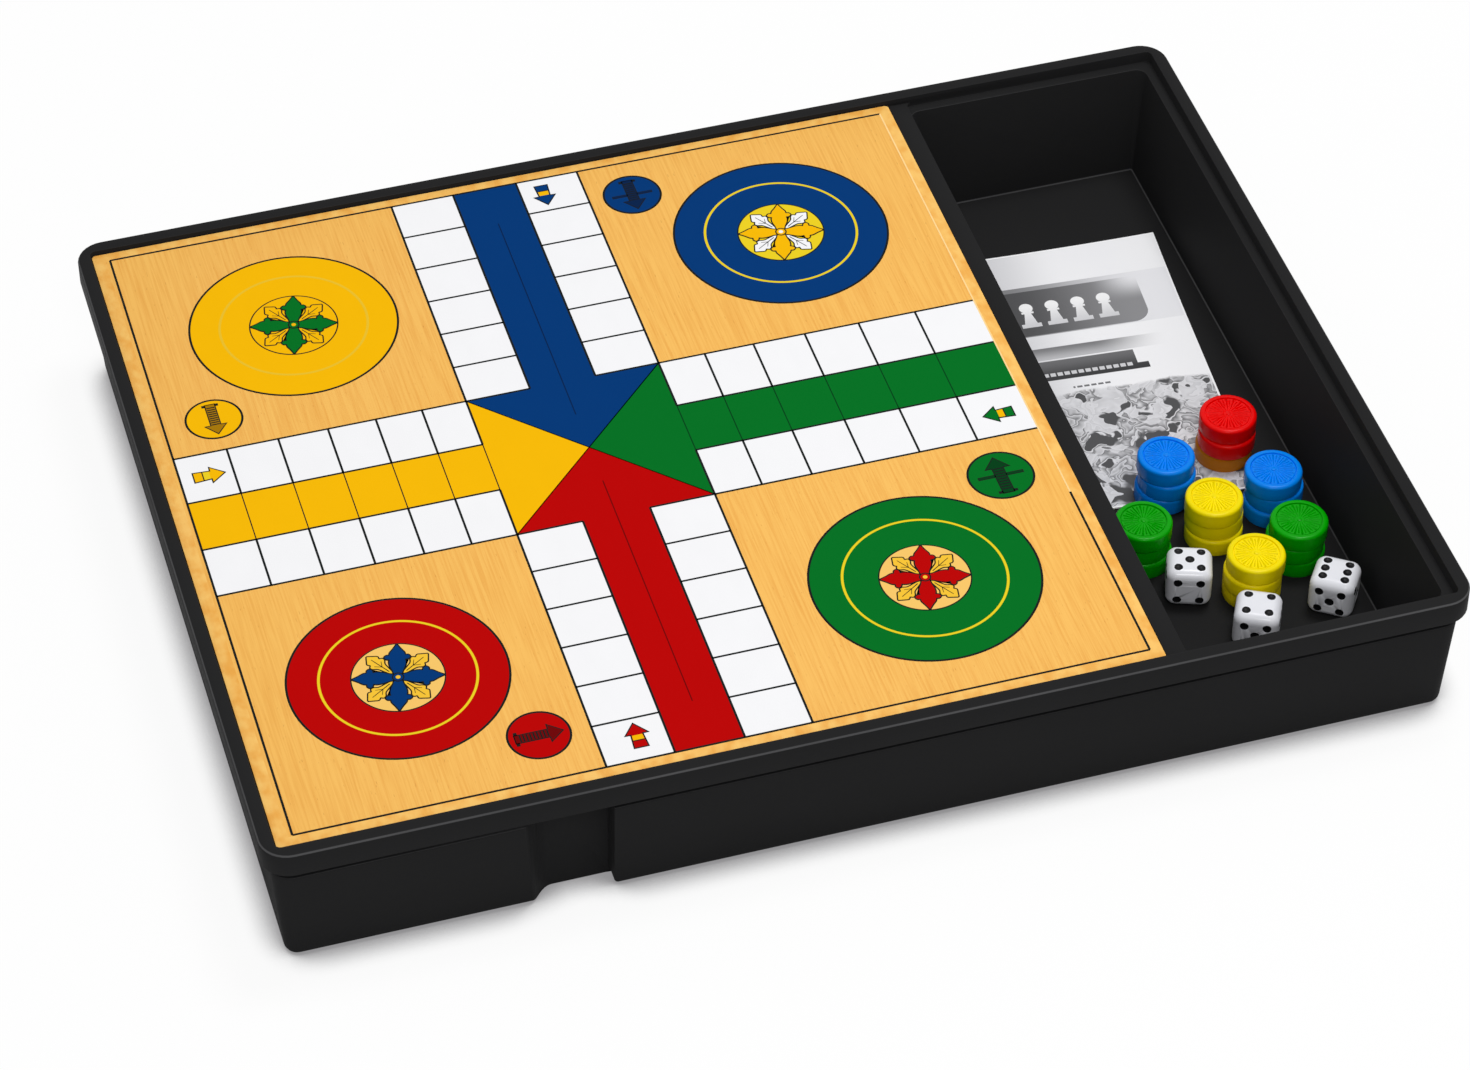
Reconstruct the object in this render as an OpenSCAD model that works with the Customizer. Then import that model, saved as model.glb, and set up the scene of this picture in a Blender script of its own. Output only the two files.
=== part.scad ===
// Board game case: a moulded tray with a lift-out playing board beside an open
// storage well that holds a leaflet, stacks of counters and three dice.
// Origin: middle of the underside. +X along the long side, +Y to the back, +Z up.

/* [Board] */
// Side of the square playing board
board_side = 300; // [250:1:360]
// Thickness of the wooden panel
panel_th = 2.8; // [2:0.1:6]
// Thickness of the printed sheet glued to the panel
sheet_th = 0.2; // [0.1:0.05:0.4]
// Radius of the board's corners
board_corner = 1.5; // [0.5:0.5:5]
// Gap between the board's edge and the tray, all round
board_gap = 0.5; // [0.3:0.1:1.5]
// How far the board's face lies below the rim
board_drop = 1.8; // [0.5:0.1:4]

/* [Tray] */
// Height of the tray
tray_h = 54; // [42:1:80]
// Width of the flat rim
rim_w = 5; // [4:0.5:10]
// Rounding of the rim's upper edge
rim_round = 1; // [0.5:0.1:2]
// Radius of the collar's corners, seen from above
collar_corner = 10; // [9:0.5:20]
// Height of the collar that runs round under the rim
collar_h = 9.5; // [6:0.5:14]
// How far the collar stands out from the wall below it
collar_out = 3; // [1:0.5:3]
// How far the outer wall leans in from the collar down to the table
wall_lean = 2.3; // [0.1:0.1:3]
// Rounding of the edge between the outer wall and the underside
base_round = 3.5; // [1:0.5:3.5]
// Thickness of the floor
floor_th = 3; // [2:0.5:5]
// Width of the ledge that carries the board
ledge_w = 3.4; // [2:0.2:6]
// How far the inner walls lean in from the ledge down to the floor
pocket_lean = 3; // [0.5:0.5:3]
// Radius of the pockets' upright corners at the ledge
pocket_corner = 4; // [3.5:0.5:10]
// Width of the underside's foot ring
foot_ring = 9; // [6:1:20]
// Depth of the relief inside the foot ring
foot_relief = 0.8; // [0.2:0.1:1.5]

/* [Divider and well] */
// Width of the divider between the board and the well
divider_w = 7; // [5:0.5:12]
// How far the divider's top lies below the rim
divider_drop = 2.8; // [1:0.1:4]
// Room in the well beside three counters abreast
well_room = 25.5; // [22:0.5:50]
// Distance from the well's front wall to the middle of the stacks
stack_front = 91; // [85:1:110]

/* [Board supports] */
// Diameter of the posts that stand under the board
post_d = 10; // [6:1:16]
// Distance of each post from the middle of the board, along X and along Y
post_reach = 75; // [50:1:100]

/* [Finger notch] */
// Distance from the tray's left side to the notch's square end
notch_end = 115.5; // [80:0.5:180]
// Length of the notch along the front wall
notch_len = 34.5; // [25:0.5:60]
// Length of the curved run-in at the notch's left end
notch_run = 15; // [8:1:22]
// Depth of the notch at the table
notch_depth = 7; // [4:0.5:10]
// Thickness of the wall behind the notch
notch_wall = 3; // [2:0.5:5]
// Rounding of the lower corner at the notch's square end
notch_round = 4; // [1:0.5:8]

/* [Counters] */
// Diameter of a counter
counter_d = 20.5; // [17:0.5:26]
// Height of a counter
counter_h = 6.5; // [5:0.5:8]
// Clear space between neighbouring stacks
counter_gap = 3; // [2:0.5:6]
// Rounding of a counter's upper edge
counter_round = 1.2; // [0.5:0.1:2]
// Distance from a counter's edge to the raised ring's inner side
counter_land = 2.2; // [1.8:0.1:4]
// Depth of the sunk middle of a counter
counter_sink = 0.35; // [0.2:0.05:0.8]
// Largest sideways slip of a counter within its stack
stack_slip = 0.5; // [0:0.1:0.8]

/* [Dice] */
// Side of a die
die_side = 16; // [15:0.5:20]
// How far the ball that rounds off a die's corners eases the middle of its edges
die_ease = 0.3; // [0.1:0.05:0.8]
// Diameter of a pip
pip_d = 3; // [2:0.1:3.4]
// Depth of a pip
pip_depth = 0.6; // [0.3:0.1:1]
// Distance between the middles of neighbouring pips
pip_step = 4.2; // [3.6:0.1:4.6]
// Clear space allowed between a die and the counter nearest to it
die_gap = 4; // [3:0.5:8]
// Clear space between the right die's corner and the well's right wall
die_wall_gap = 2; // [0.5:0.5:4]

/* [Leaflet] */
// Width of the folded leaflet
leaflet_w = 68; // [50:1:70]
// Length of the folded leaflet
leaflet_l = 140; // [100:1:165]
// Thickness of the folded leaflet
leaflet_th = 0.6; // [0.2:0.1:2]
// Clockwise turn of the leaflet on the well's floor, in degrees
leaflet_turn = 4.5; // [0:0.5:5]

/* [Hidden] */
$fn = 48;
// Overshoot of a cut past the face that it opens
cut = 1;

// Plan of the tray, from left to right: rim, board, divider, well, rim
counter_pitch = counter_d + counter_gap;
well_w = 3 * counter_pitch + well_room;
bay_side = board_side + 2 * board_gap;
tray_w = 2 * rim_w + bay_side + divider_w + well_w;
tray_d = 2 * rim_w + bay_side;
bay_x0 = rim_w - tray_w / 2;
bay_x1 = bay_x0 + bay_side;
well_x0 = bay_x1 + divider_w;
well_x1 = well_x0 + well_w;
board_x = (bay_x0 + bay_x1) / 2;

// Heights
face_z = tray_h - board_drop;
ledge_z = face_z - sheet_th - panel_th;
divider_z = tray_h - divider_drop;
collar_z = tray_h - collar_h;

// The well's floor, inside the walls' feet
floor_x0 = well_x0 + pocket_lean;
floor_x1 = well_x1 - ledge_w - pocket_lean;
floor_y0 = -bay_side / 2 + ledge_w + pocket_lean;

// Finger notch
notch_x1 = notch_end - tray_w / 2;
notch_x0 = notch_x1 - notch_len;
base_inset = collar_out + wall_lean;
base_y = base_inset - tray_d / 2;

// Stacks: colour, place in counter pitches from the middle stack
STACKS = [
    ["red", "red", 0.80, 1.60],
    ["blue_left", "dodgerblue", -0.40, 1.00],
    ["blue_right", "dodgerblue", 1.06, 0.29],
    ["yellow_middle", "gold", 0, 0],
    ["green_left", "green", -1.20, -0.17],
    ["green_right", "green", 1.00, -0.81],
    ["yellow_front", "gold", 0.13, -1.31]
];
// The first stacks stand on the leaflet
LEAFLET_STACKS = 2;
GREEN_LEFT = 4;
YELLOW_FRONT = 6;
LEVELS = [1, 2, 3];
stack_x = floor_x1 - 1.77 * counter_pitch;
stack_y = floor_y0 + stack_front;
function stack_place(row) = [
    stack_x + STACKS[row][2] * counter_pitch,
    stack_y + STACKS[row][3] * counter_pitch
];

// Dice: name, place beside a stack or the wall, turn, numbers on top, front and right
die_pitch = (counter_d + die_side) / 2 + die_gap;
right_die_place = [
    floor_x1 - die_wall_gap - die_side / sqrt(2),
    stack_place(YELLOW_FRONT)[1] - 0.58 * die_pitch
];
DICE = [
    ["left_die", stack_place(GREEN_LEFT) + die_pitch * [0.445, -0.912], -20, [5, 4, 1]],
    ["middle_die", stack_place(YELLOW_FRONT) + die_pitch * [-0.28, -0.92], -27, [4, 5, 6]],
    ["right_die", right_die_place, -35, [6, 5, 3]]
];
// Places of the pips for one to six, in steps from the middle of the face
PIPS = [
    [[0, 0]],
    [[-1, -1], [1, 1]],
    [[-1, -1], [0, 0], [1, 1]],
    [[-1, -1], [1, -1], [-1, 1], [1, 1]],
    [[-1, -1], [1, -1], [0, 0], [-1, 1], [1, 1]],
    [[-1, -1], [-1, 0], [-1, 1], [1, -1], [1, 0], [1, 1]]
];

// Rectangle with round corners, centred
module round_rect(w, d, r) {
    square([w - 2 * r, d], center = true);
    square([w, d - 2 * r], center = true);
    for (x = [-1, 1]) for (y = [-1, 1])
        translate([x * (w / 2 - r), y * (d / 2 - r)]) circle(r);
}

// Upright round-cornered prism between two heights, over x0 to x1 and centred on Y
module pocket(x0, x1, d, r, z0, z1) {
    translate([(x0 + x1) / 2, 0, z0])
        linear_extrude(z1 - z0) round_rect(x1 - x0, d, r);
}

// Solid with round upright corners whose four sides follow one profile of [inset, z] points
module moulded_block(w, d, r, profile) {
    last = len(profile) - 1;
    corner = concat(
        [[0, profile[0][1]]],
        [for (p = profile) [r - p[0], p[1]]],
        [[0, profile[last][1]]]);
    for (x = [-1, 1]) for (y = [-1, 1])
        translate([x * (w / 2 - r), y * (d / 2 - r), 0]) rotate_extrude() polygon(corner);
    rotate([90, 0, 90]) linear_extrude(w - 2 * r, center = true) both_sides(d / 2, profile);
    rotate([90, 0, 0]) linear_extrude(d - 2 * r, center = true) both_sides(w / 2, profile);
}

// Cross section with one profile on its right side and the mirrored one on its left
module both_sides(reach, profile) {
    last = len(profile) - 1;
    polygon(concat(
        [for (p = profile) [reach - p[0], p[1]]],
        [for (i = [last : -1 : 0]) [profile[i][0] - reach, profile[i][1]]]));
}

// Outer wall below the collar, leaning in to its foot, with a rounded lower edge
module outer_wall() {
    foot_round = [for (a = [90 : -15 : 0])
        [base_inset + base_round * (1 - cos(a)), base_round * (1 - sin(a))]];
    moulded_block(tray_w, tray_d, collar_corner, concat(foot_round, [[collar_out, collar_z]]));
}

// Collar and rim, with a rounded upper edge
module collar() {
    edge_round = [for (a = [0 : 15 : 90])
        [rim_round * (1 - cos(a)), tray_h - rim_round * (1 - sin(a))]];
    moulded_block(tray_w, tray_d, collar_corner, concat([[0, collar_z]], edge_round));
}

// Pocket below the ledge, over x0 to x1 at its mouth, with leaning walls
module leaning_pocket(x0, x1) {
    translate([(x0 + x1) / 2, 0, 0])
        moulded_block(x1 - x0, bay_side - 2 * ledge_w, pocket_corner,
            [[pocket_lean, floor_th], [0, ledge_z], [0, ledge_z + cut]]);
}

// Plan of the notch, curved at its left end and square at its right; grow widens and deepens it
module notch_plan(front, grow) {
    x0 = notch_x0 - grow;
    x1 = notch_x1 + grow;
    depth_y = base_y + notch_depth + grow;
    steps = 12;
    run_in = [for (i = [0 : steps])
        [x0 + notch_run * i / steps, front + (depth_y - front) * (1 - cos(180 * i / steps)) / 2]];
    polygon(concat(run_in, [[x1, depth_y], [x1, front]]));
}

// Rounding of the lower corner where the notch ends square
module notch_corner() {
    translate([notch_x1, -tray_d / 2, 0]) difference() {
        translate([-cut, 0, -cut])
            cube([notch_round + cut, base_inset + notch_depth, notch_round + cut]);
        translate([notch_round, -cut, notch_round]) rotate([-90, 0, 0])
            cylinder(r = notch_round, h = base_inset + notch_depth + 2 * cut);
    }
}

// Posts under the board, each with a spreading foot
module board_posts() {
    foot = post_d / 2;
    for (x = [-1, 1]) for (y = [-1, 1])
        translate([board_x + x * post_reach, y * post_reach, floor_th / 2]) {
            cylinder(d = post_d, h = ledge_z - floor_th / 2);
            cylinder(r1 = post_d / 2 + foot, r2 = post_d / 2, h = floor_th / 2 + foot);
        }
}

// One-piece moulded tray
module tray() {
    color([0.14, 0.14, 0.14]) difference() {
        union() {
            difference() {
                union() {
                    outer_wall();
                    collar();
                }
                // Open mouth above the divider, then the board's seat and the well's mouth
                pocket(bay_x0, well_x1, bay_side, 2, divider_z, tray_h + cut);
                pocket(bay_x0, bay_x1, bay_side, 2, ledge_z, tray_h);
                pocket(well_x0, well_x1, bay_side, 2, ledge_z, tray_h);
                leaning_pocket(bay_x0 + ledge_w, bay_x1 - ledge_w);
                leaning_pocket(well_x0, well_x1 - ledge_w);
            }
            translate([0, 0, floor_th])
                linear_extrude(ledge_z - floor_th) notch_plan(base_y + base_round, notch_wall);
            board_posts();
        }
        translate([0, 0, -cut])
            linear_extrude(collar_z + cut) notch_plan(-tray_d / 2, 0);
        notch_corner();
        translate([0, 0, -cut]) linear_extrude(cut + foot_relief)
            round_rect(
                tray_w - 2 * (base_inset + base_round + foot_ring),
                tray_d - 2 * (base_inset + base_round + foot_ring),
                collar_corner);
    }
}

// Wooden panel of the playing board
module board_panel() {
    color([0.93, 0.72, 0.4]) translate([board_x, 0, ledge_z])
        linear_extrude(panel_th) round_rect(board_side, board_side, board_corner);
}

// Printed sheet glued on the panel
module board_face() {
    color([0.96, 0.76, 0.42]) translate([board_x, 0, ledge_z + panel_th])
        linear_extrude(sheet_th) round_rect(board_side, board_side, board_corner);
}

// Folded leaflet, lying under the back stacks, its near edge placed from their pitch
module leaflet() {
    near_x = floor_x0 + 1.8 + leaflet_w / 2;
    color([0.85, 0.85, 0.87])
        translate([near_x, stack_y + 0.89 * counter_pitch, floor_th])
            rotate([0, 0, -leaflet_turn]) translate([-leaflet_w / 2, 0, 0])
                cube([leaflet_w, leaflet_l, leaflet_th]);
}

// Profile of a counter: rounded upper edge, flat land, sunk middle and a small nub
module counter_profile() {
    r = counter_d / 2;
    edge = 0.4;
    nub_r = 1;
    land_r = r - counter_land;
    shoulder = [for (a = [0 : 15 : 90])
        [r - counter_round * (1 - cos(a)), counter_h - counter_round * (1 - sin(a))]];
    polygon(concat(
        [[0, 0], [r - edge, 0], [r, edge]],
        shoulder,
        [[land_r, counter_h], [land_r - counter_sink, counter_h - counter_sink],
         [nub_r, counter_h - counter_sink], [nub_r / 2, counter_h - counter_sink / 3],
         [0, counter_h - counter_sink / 3]]));
}

// One counter of a stack; its slip follows from its row and level
module counter(row, level) {
    s = STACKS[row];
    base = row < LEAFLET_STACKS ? floor_th + leaflet_th : floor_th;
    turn = 137 * (3 * row + level);
    shade = row == 0 && level == 1 ? "darkgoldenrod" : s[1];
    color(shade)
        translate([
            stack_place(row)[0] + stack_slip * cos(turn),
            stack_place(row)[1] + stack_slip * sin(turn),
            base + (level - 1) * counter_h])
            rotate_extrude() counter_profile();
}

// Dimples of one face, looking down on it
module pips(number) {
    ball_r = (pow(pip_d / 2, 2) + pow(pip_depth, 2)) / (2 * pip_depth);
    for (p = PIPS[number - 1])
        translate([p[0] * pip_step, p[1] * pip_step, die_side / 2 - pip_depth + ball_r])
            sphere(ball_r, $fn = 24);
}

// One die: a cube with ball-rounded corners; opposite faces add up to seven
module die(d) {
    numbers = d[3];
    color("white")
        translate([d[1][0], d[1][1], floor_th + die_side / 2])
            rotate([0, 0, d[2]]) difference() {
                intersection() {
                    cube(die_side, center = true);
                    sphere(die_side / sqrt(2) - die_ease);
                }
                pips(numbers[0]);
                rotate([180, 0, 0]) pips(7 - numbers[0]);
                rotate([90, 0, 0]) pips(numbers[1]);
                rotate([-90, 0, 0]) pips(7 - numbers[1]);
                rotate([0, 90, 0]) pips(numbers[2]);
                rotate([0, -90, 0]) pips(7 - numbers[2]);
            }
}

tray();
board_panel();
board_face();
leaflet();
for (row = [0 : len(STACKS) - 1]) for (level = LEVELS)
    counter(row, level);
for (d = DICE)
    die(d);
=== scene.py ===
# %% [markdown]
# A ludo set in its case, for a reader who is learning Blender. The case is one black moulded
# tray. A square wooden board with a printed face lies in a seat on its left. The open well on its
# right holds a folded leaflet, seven stacks of counters and three dice. The construction comes
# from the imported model, and this file gives it its looks, piece by piece, in metres.

import math

import bmesh
import bpy
from mathutils import Matrix, Vector


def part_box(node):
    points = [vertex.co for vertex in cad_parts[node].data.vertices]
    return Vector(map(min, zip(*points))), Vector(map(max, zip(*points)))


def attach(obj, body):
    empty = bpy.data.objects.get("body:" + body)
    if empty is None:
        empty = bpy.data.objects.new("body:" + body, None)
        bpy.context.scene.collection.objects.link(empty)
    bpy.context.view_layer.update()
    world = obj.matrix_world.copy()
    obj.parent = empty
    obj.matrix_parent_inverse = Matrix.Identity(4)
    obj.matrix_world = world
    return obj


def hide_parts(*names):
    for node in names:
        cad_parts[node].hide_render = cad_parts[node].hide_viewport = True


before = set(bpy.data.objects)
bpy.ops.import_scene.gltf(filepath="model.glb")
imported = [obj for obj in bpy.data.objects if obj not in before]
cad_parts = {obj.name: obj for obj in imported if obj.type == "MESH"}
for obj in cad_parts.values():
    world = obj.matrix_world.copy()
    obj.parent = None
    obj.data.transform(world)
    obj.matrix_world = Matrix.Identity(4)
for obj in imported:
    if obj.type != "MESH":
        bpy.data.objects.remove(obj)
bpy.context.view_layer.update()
MM = 0.001
tray_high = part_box("tray")[1]
panel_low, panel_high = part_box("board_panel")
sheet_low, sheet_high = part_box("board_face")

# %% [markdown]
# The camera stands to the left of the front, a little under forty-five degrees up, and far away
# with a long lens, as a catalogue photographer would do it. Its place is worked out from two
# angles, a distance and the point that it looks at, so each can be changed by itself.

# %% Camera
VIEW_TURN = math.radians(16.63)
VIEW_RISE = math.radians(44.02)
VIEW_DISTANCE = 1.7096
VIEW_AIM = Vector((-0.0139, -0.0287, 0.027))
VIEW_LENS = 121.3
VIEW_END = 50


def new_object(name, data):
    """An object with its data, put into the scene."""
    thing = bpy.data.objects.new(name, data)
    bpy.context.collection.objects.link(thing)
    return thing


def add_camera():
    """The scene's camera, aimed along the two view angles."""
    data = bpy.data.cameras.new("camera")
    data.lens = VIEW_LENS
    data.clip_end = VIEW_END
    camera = new_object("camera", data)
    back = Vector((
        -math.sin(VIEW_TURN) * math.cos(VIEW_RISE),
        -math.cos(VIEW_TURN) * math.cos(VIEW_RISE),
        math.sin(VIEW_RISE)))
    camera.location = VIEW_AIM + VIEW_DISTANCE * back
    camera.rotation_euler = (-back).to_track_quat("-Z", "Y").to_euler()
    bpy.context.scene.camera = camera
    return camera


camera = add_camera()
print("camera stands at", [round(c, 4) for c in camera.location])

# %% [markdown]
# A node tree is easier to read as a sum than as a wiring diagram. The class Value wraps one
# output socket, and Python's own operators on it add Math nodes. The class Nodes adds any other
# node: it takes the node's type, its settings and what its sockets hold, in that order, because a
# setting can change which sockets there are.

# %% Node trees written as maths


class Value:
    """One output of a node. Maths on it adds Math nodes to the same tree."""

    def __init__(self, nodes, socket):
        self.nodes = nodes
        self.socket = socket

    def math(self, operation, *terms):
        return self.nodes.node("ShaderNodeMath", {"operation": operation}, dict(enumerate(terms)))

    def __add__(self, other):
        return self.math("ADD", self, other)

    def __radd__(self, other):
        return self.math("ADD", other, self)

    def __sub__(self, other):
        return self.math("SUBTRACT", self, other)

    def __rsub__(self, other):
        return self.math("SUBTRACT", other, self)

    def __mul__(self, other):
        return self.math("MULTIPLY", self, other)

    def __rmul__(self, other):
        return self.math("MULTIPLY", other, self)

    def __truediv__(self, other):
        return self.math("DIVIDE", self, other)

    def __gt__(self, other):
        return self.math("GREATER_THAN", self, other)

    def __lt__(self, other):
        return self.math("LESS_THAN", self, other)

    def size(self):
        return self.math("ABSOLUTE", self)

    def most(self, other):
        return self.math("MAXIMUM", self, other)

    def root(self):
        return self.math("SQRT", self)

    def fraction(self):
        return self.math("FRACT", self)

    def ramp(self, low, high):
        """0 below low, 1 above high, and smooth between them."""
        ends = {"Value": self, "From Min": low, "From Max": high}
        return self.nodes.node("ShaderNodeMapRange", {"interpolation_type": "SMOOTHSTEP"}, ends)


# %% Any other node


class Nodes:
    """A node tree, with one method that adds any node."""

    def __init__(self, tree):
        self.tree = tree

    def put(self, socket, held):
        if isinstance(held, Value):
            self.tree.links.new(held.socket, socket)
        else:
            socket.default_value = held

    def node(self, kind, settings=None, inputs=None, output=0):
        made = self.tree.nodes.new(kind)
        for setting, choice in (settings or {}).items():
            setattr(made, setting, choice)
        for key, held in (inputs or {}).items():
            self.put(made.inputs[key], held)
        return Value(self, made.outputs[output])

    def part(self, vector, axis):
        """One coordinate of a vector."""
        return self.node("ShaderNodeSeparateXYZ", inputs={"Vector": vector}, output=axis)


# %% A material as a node tree


class Finish(Nodes):
    """A material. Fixed numbers go straight to the shader, what varies is linked to it."""

    def __init__(self, name, **fixed):
        self.material = bpy.data.materials.new(name)
        self.material.use_nodes = True
        super().__init__(self.material.node_tree)
        self.shader = self.tree.nodes["Principled BSDF"]
        self.vary(**fixed)
        self.place = self.node("ShaderNodeTexCoord", output="Object")

    def stretched(self, x, y, z):
        """Object coordinates, scaled so that 1 is the given length in metres along each axis."""
        return self.node(
            "ShaderNodeMapping", inputs={"Vector": self.place, "Scale": (1 / x, 1 / y, 1 / z)})

    def cloud(self, place, scale=1.0, detail=3.0, roughness=0.5):
        """Soft noise from 0 to 1."""
        return self.node("ShaderNodeTexNoise", inputs={
            "Vector": place, "Scale": scale, "Detail": detail, "Roughness": roughness})

    def mix(self, share, low, high):
        """One colour for share 0 and another for share 1."""
        return self.node(
            "ShaderNodeMix", {"data_type": "RGBA"}, {0: share, 6: low, 7: high}, output=2)

    def bump(self, height, depth):
        """A normal from a height of 0 to 1 that stands for depth metres."""
        return self.node("ShaderNodeBump", inputs={"Height": height, "Distance": depth})

    def vary(self, **held):
        """Gives the shader's sockets what they hold, and the material back."""
        for key, value in held.items():
            self.put(self.shader.inputs[key.replace("_", " ")], value)
        return self.material


# %% Colours


def tone(red, green, blue):
    """A colour of the picture, from 0 to 255, as the shader's linear colour."""
    parts = [c / 255 for c in (red, green, blue)]
    linear = [c / 12.92 if c < 0.04045 else ((c + 0.055) / 1.055) ** 2.4 for c in parts]
    return (*linear, 1.0)


def darker(colour, share):
    """A colour with its light cut down to a share."""
    return (*(c * share for c in colour[:3]), 1.0)


# %% [markdown]
# The studio is a plain pale floor under soft light. One lamp hangs high up behind on the right, a
# small one in front draws a thin line of light along the edges, and an even white sky fills in
# the rest. The floor is pale because its colour is pale, not because it is lit harder. To the
# camera, part of its paper looks evenly white, so the shadow that the object casts on it stays
# light; close to the object a darker contact shadow is painted into that white by an occlusion
# mask. The sky looks white too, while the light that it sheds is set apart.

# %% Studio floor
FLOOR_REACH = 6.0
FLOOR_DROP = 0.1 * MM
EVEN_WHITE = 0.92
PAINTED_SHADOW_REACH = 16 * MM
PAINTED_SHADOW_FROM = 0.36
PAINTED_SHADOW_TO = 0.88
PAINTED_SHADOW_TONE = tone(146, 145, 147)


def floor_finish():
    """Pale paper with its real, light shadow and a painted contact shadow in its even white."""
    paper = Finish("studio_floor", Roughness=0.9, Specular_IOR_Level=0.0)
    cloud = paper.cloud(paper.stretched(0.8, 0.8, 0.8))
    colour = paper.mix(cloud, tone(254, 254, 254), tone(255, 255, 255))
    # Painted contact shadow: an occlusion mask darkens the camera's even white near the object
    openness = paper.node(
        "ShaderNodeAmbientOcclusion", {"samples": 16}, {"Distance": PAINTED_SHADOW_REACH}, output="AO")
    painted_shadow_colour = paper.mix(openness.ramp(PAINTED_SHADOW_FROM, PAINTED_SHADOW_TO), PAINTED_SHADOW_TONE, colour)
    even = paper.node("ShaderNodeEmission", inputs={"Color": painted_shadow_colour})
    seen = paper.node("ShaderNodeLightPath", output="Is Camera Ray")
    lit = Value(paper, paper.shader.outputs[0])
    both = paper.node("ShaderNodeMixShader", inputs={0: seen * EVEN_WHITE, 1: lit, 2: even})
    paper.put(paper.tree.nodes["Material Output"].inputs["Surface"], both)
    return paper.vary(Base_Color=colour)


def add_floor():
    """A flat pale sheet just under the tray's feet."""
    signs = [(-1, -1), (1, -1), (1, 1), (-1, 1)]
    corners = [(x * FLOOR_REACH, y * FLOOR_REACH, -FLOOR_DROP) for x, y in signs]
    mesh = bpy.data.meshes.new("floor")
    mesh.from_pydata(corners, [], [(0, 1, 2, 3)])
    mesh.materials.append(floor_finish())
    new_object("floor", mesh)


# %% Lamps and sky
SKY_LIGHT = 0.44
LAMPS = [
    # Name, place, width in metres, power in watts
    ("key_lamp", (0.5, 0.25, 2.1), 0.6, 20.7),
    ("edge_lamp", (-0.2, -1.3, 1.7), 0.4, 9)]


def add_lamp(name, place, width, power):
    """A square lamp that looks at the middle of the object."""
    data = bpy.data.lights.new(name, "AREA")
    data.shape = "SQUARE"
    data.size = width
    data.energy = power
    lamp = new_object(name, data)
    lamp.location = place
    lamp.rotation_euler = (-Vector(place)).to_track_quat("-Z", "Y").to_euler()


def add_sky():
    """An even sky: its light is fixed, and it looks white where it is seen."""
    world = bpy.data.worlds.new("sky")
    world.use_nodes = True
    bpy.context.scene.world = world
    sky = Nodes(world.node_tree)
    kinds = ["Is Camera Ray", "Is Glossy Ray", "Is Transmission Ray"]
    seen = [sky.node("ShaderNodeLightPath", output=kind) for kind in kinds]
    seen_at_all = seen[0].most(seen[1]).most(seen[2])
    strength = SKY_LIGHT + (1 - SKY_LIGHT) * seen_at_all
    background = world.node_tree.nodes["Background"]
    sky.put(background.inputs["Strength"], strength)
    sky.put(background.inputs["Color"], (1.0, 1.0, 1.0, 1.0))


add_floor()
add_sky()
for lamp in LAMPS:
    add_lamp(*lamp)
bpy.context.scene.view_settings.view_transform = "Standard"
print("studio is lit by", [lamp[0] for lamp in LAMPS])

# %% [markdown]
# Most pieces are stacks of outlines: a moulding, a counter and a strip of ink all have a plan
# that changes with height. A short list of helpers makes such outlines, lofts them into closed
# meshes and turns a mesh into a piece that rides on its body.

# %% Outlines
CORNER_STEPS = 8


def rounded_plan(x0, x1, y0, y1, radius, z):
    """A round-cornered rectangle, anticlockwise as seen from above."""
    middles = [(x1 - radius, y1 - radius), (x0 + radius, y1 - radius),
               (x0 + radius, y0 + radius), (x1 - radius, y0 + radius)]
    plan = []
    for corner, (x, y) in enumerate(middles):
        for step in range(CORNER_STEPS + 1):
            turn = math.radians(90) * (corner + step / CORNER_STEPS)
            plan.append((x + radius * math.cos(turn), y + radius * math.sin(turn), z))
    return plan


def circle_plan(x, y, radius, z, steps=32):
    """A circle, anticlockwise as seen from above."""
    turns = [2 * math.pi * step / steps for step in range(steps)]
    return [(x + radius * math.cos(turn), y + radius * math.sin(turn), z) for turn in turns]


# %% Lofts


def add_walls(form, plans, closed=False):
    """Adds the faces between plans, and back to the first one if closed."""
    rows = [[form.verts.new(Vector(point) * MM) for point in plan] for plan in plans]
    for low, high in zip(rows, rows[1:] + rows[:1] if closed else rows[1:]):
        for here in range(len(low)):
            there = (here + 1) % len(low)
            form.faces.new((low[here], low[there], high[there], high[here]))
    return rows


def add_loft(form, plans):
    """Adds a closed solid through plans that are given from the lowest to the highest."""
    rows = add_walls(form, plans)
    form.faces.new(rows[0][::-1])
    form.faces.new(rows[-1])


def add_object(name, form, *materials):
    """An object from a bmesh, with its materials."""
    mesh = bpy.data.meshes.new(name)
    form.to_mesh(mesh)
    form.free()
    for material in materials:
        mesh.materials.append(material)
    return new_object(name, mesh)


def lofted(name, plans, *materials):
    """One closed loft as an object."""
    form = bmesh.new()
    add_loft(form, plans)
    return add_object(name, form, *materials)


# %% Finished pieces


def settle(thing):
    """Bakes an object's modifiers into its mesh and removes them."""
    bpy.context.view_layer.update()
    seen = thing.evaluated_get(bpy.context.evaluated_depsgraph_get())
    mesh = bpy.data.meshes.new_from_object(seen)
    thing.modifiers.clear()
    thing.data = mesh
    return thing


def smooth(thing, angle):
    """Smooth shading, apart from edges sharper than the angle in degrees."""
    thing.data.shade_smooth()
    thing.data.set_sharp_from_angle(angle=math.radians(angle))
    return thing


def piece(thing, body, slot, *nodes):
    """Lets a finished object ride on its body and stand for its CAD nodes."""
    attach(thing, body)
    if nodes:
        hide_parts(*nodes)
    triangles = sum(len(face.vertices) - 2 for face in thing.data.polygons)
    print(thing.name, "rides on", body, "with", triangles, "triangles")
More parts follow.
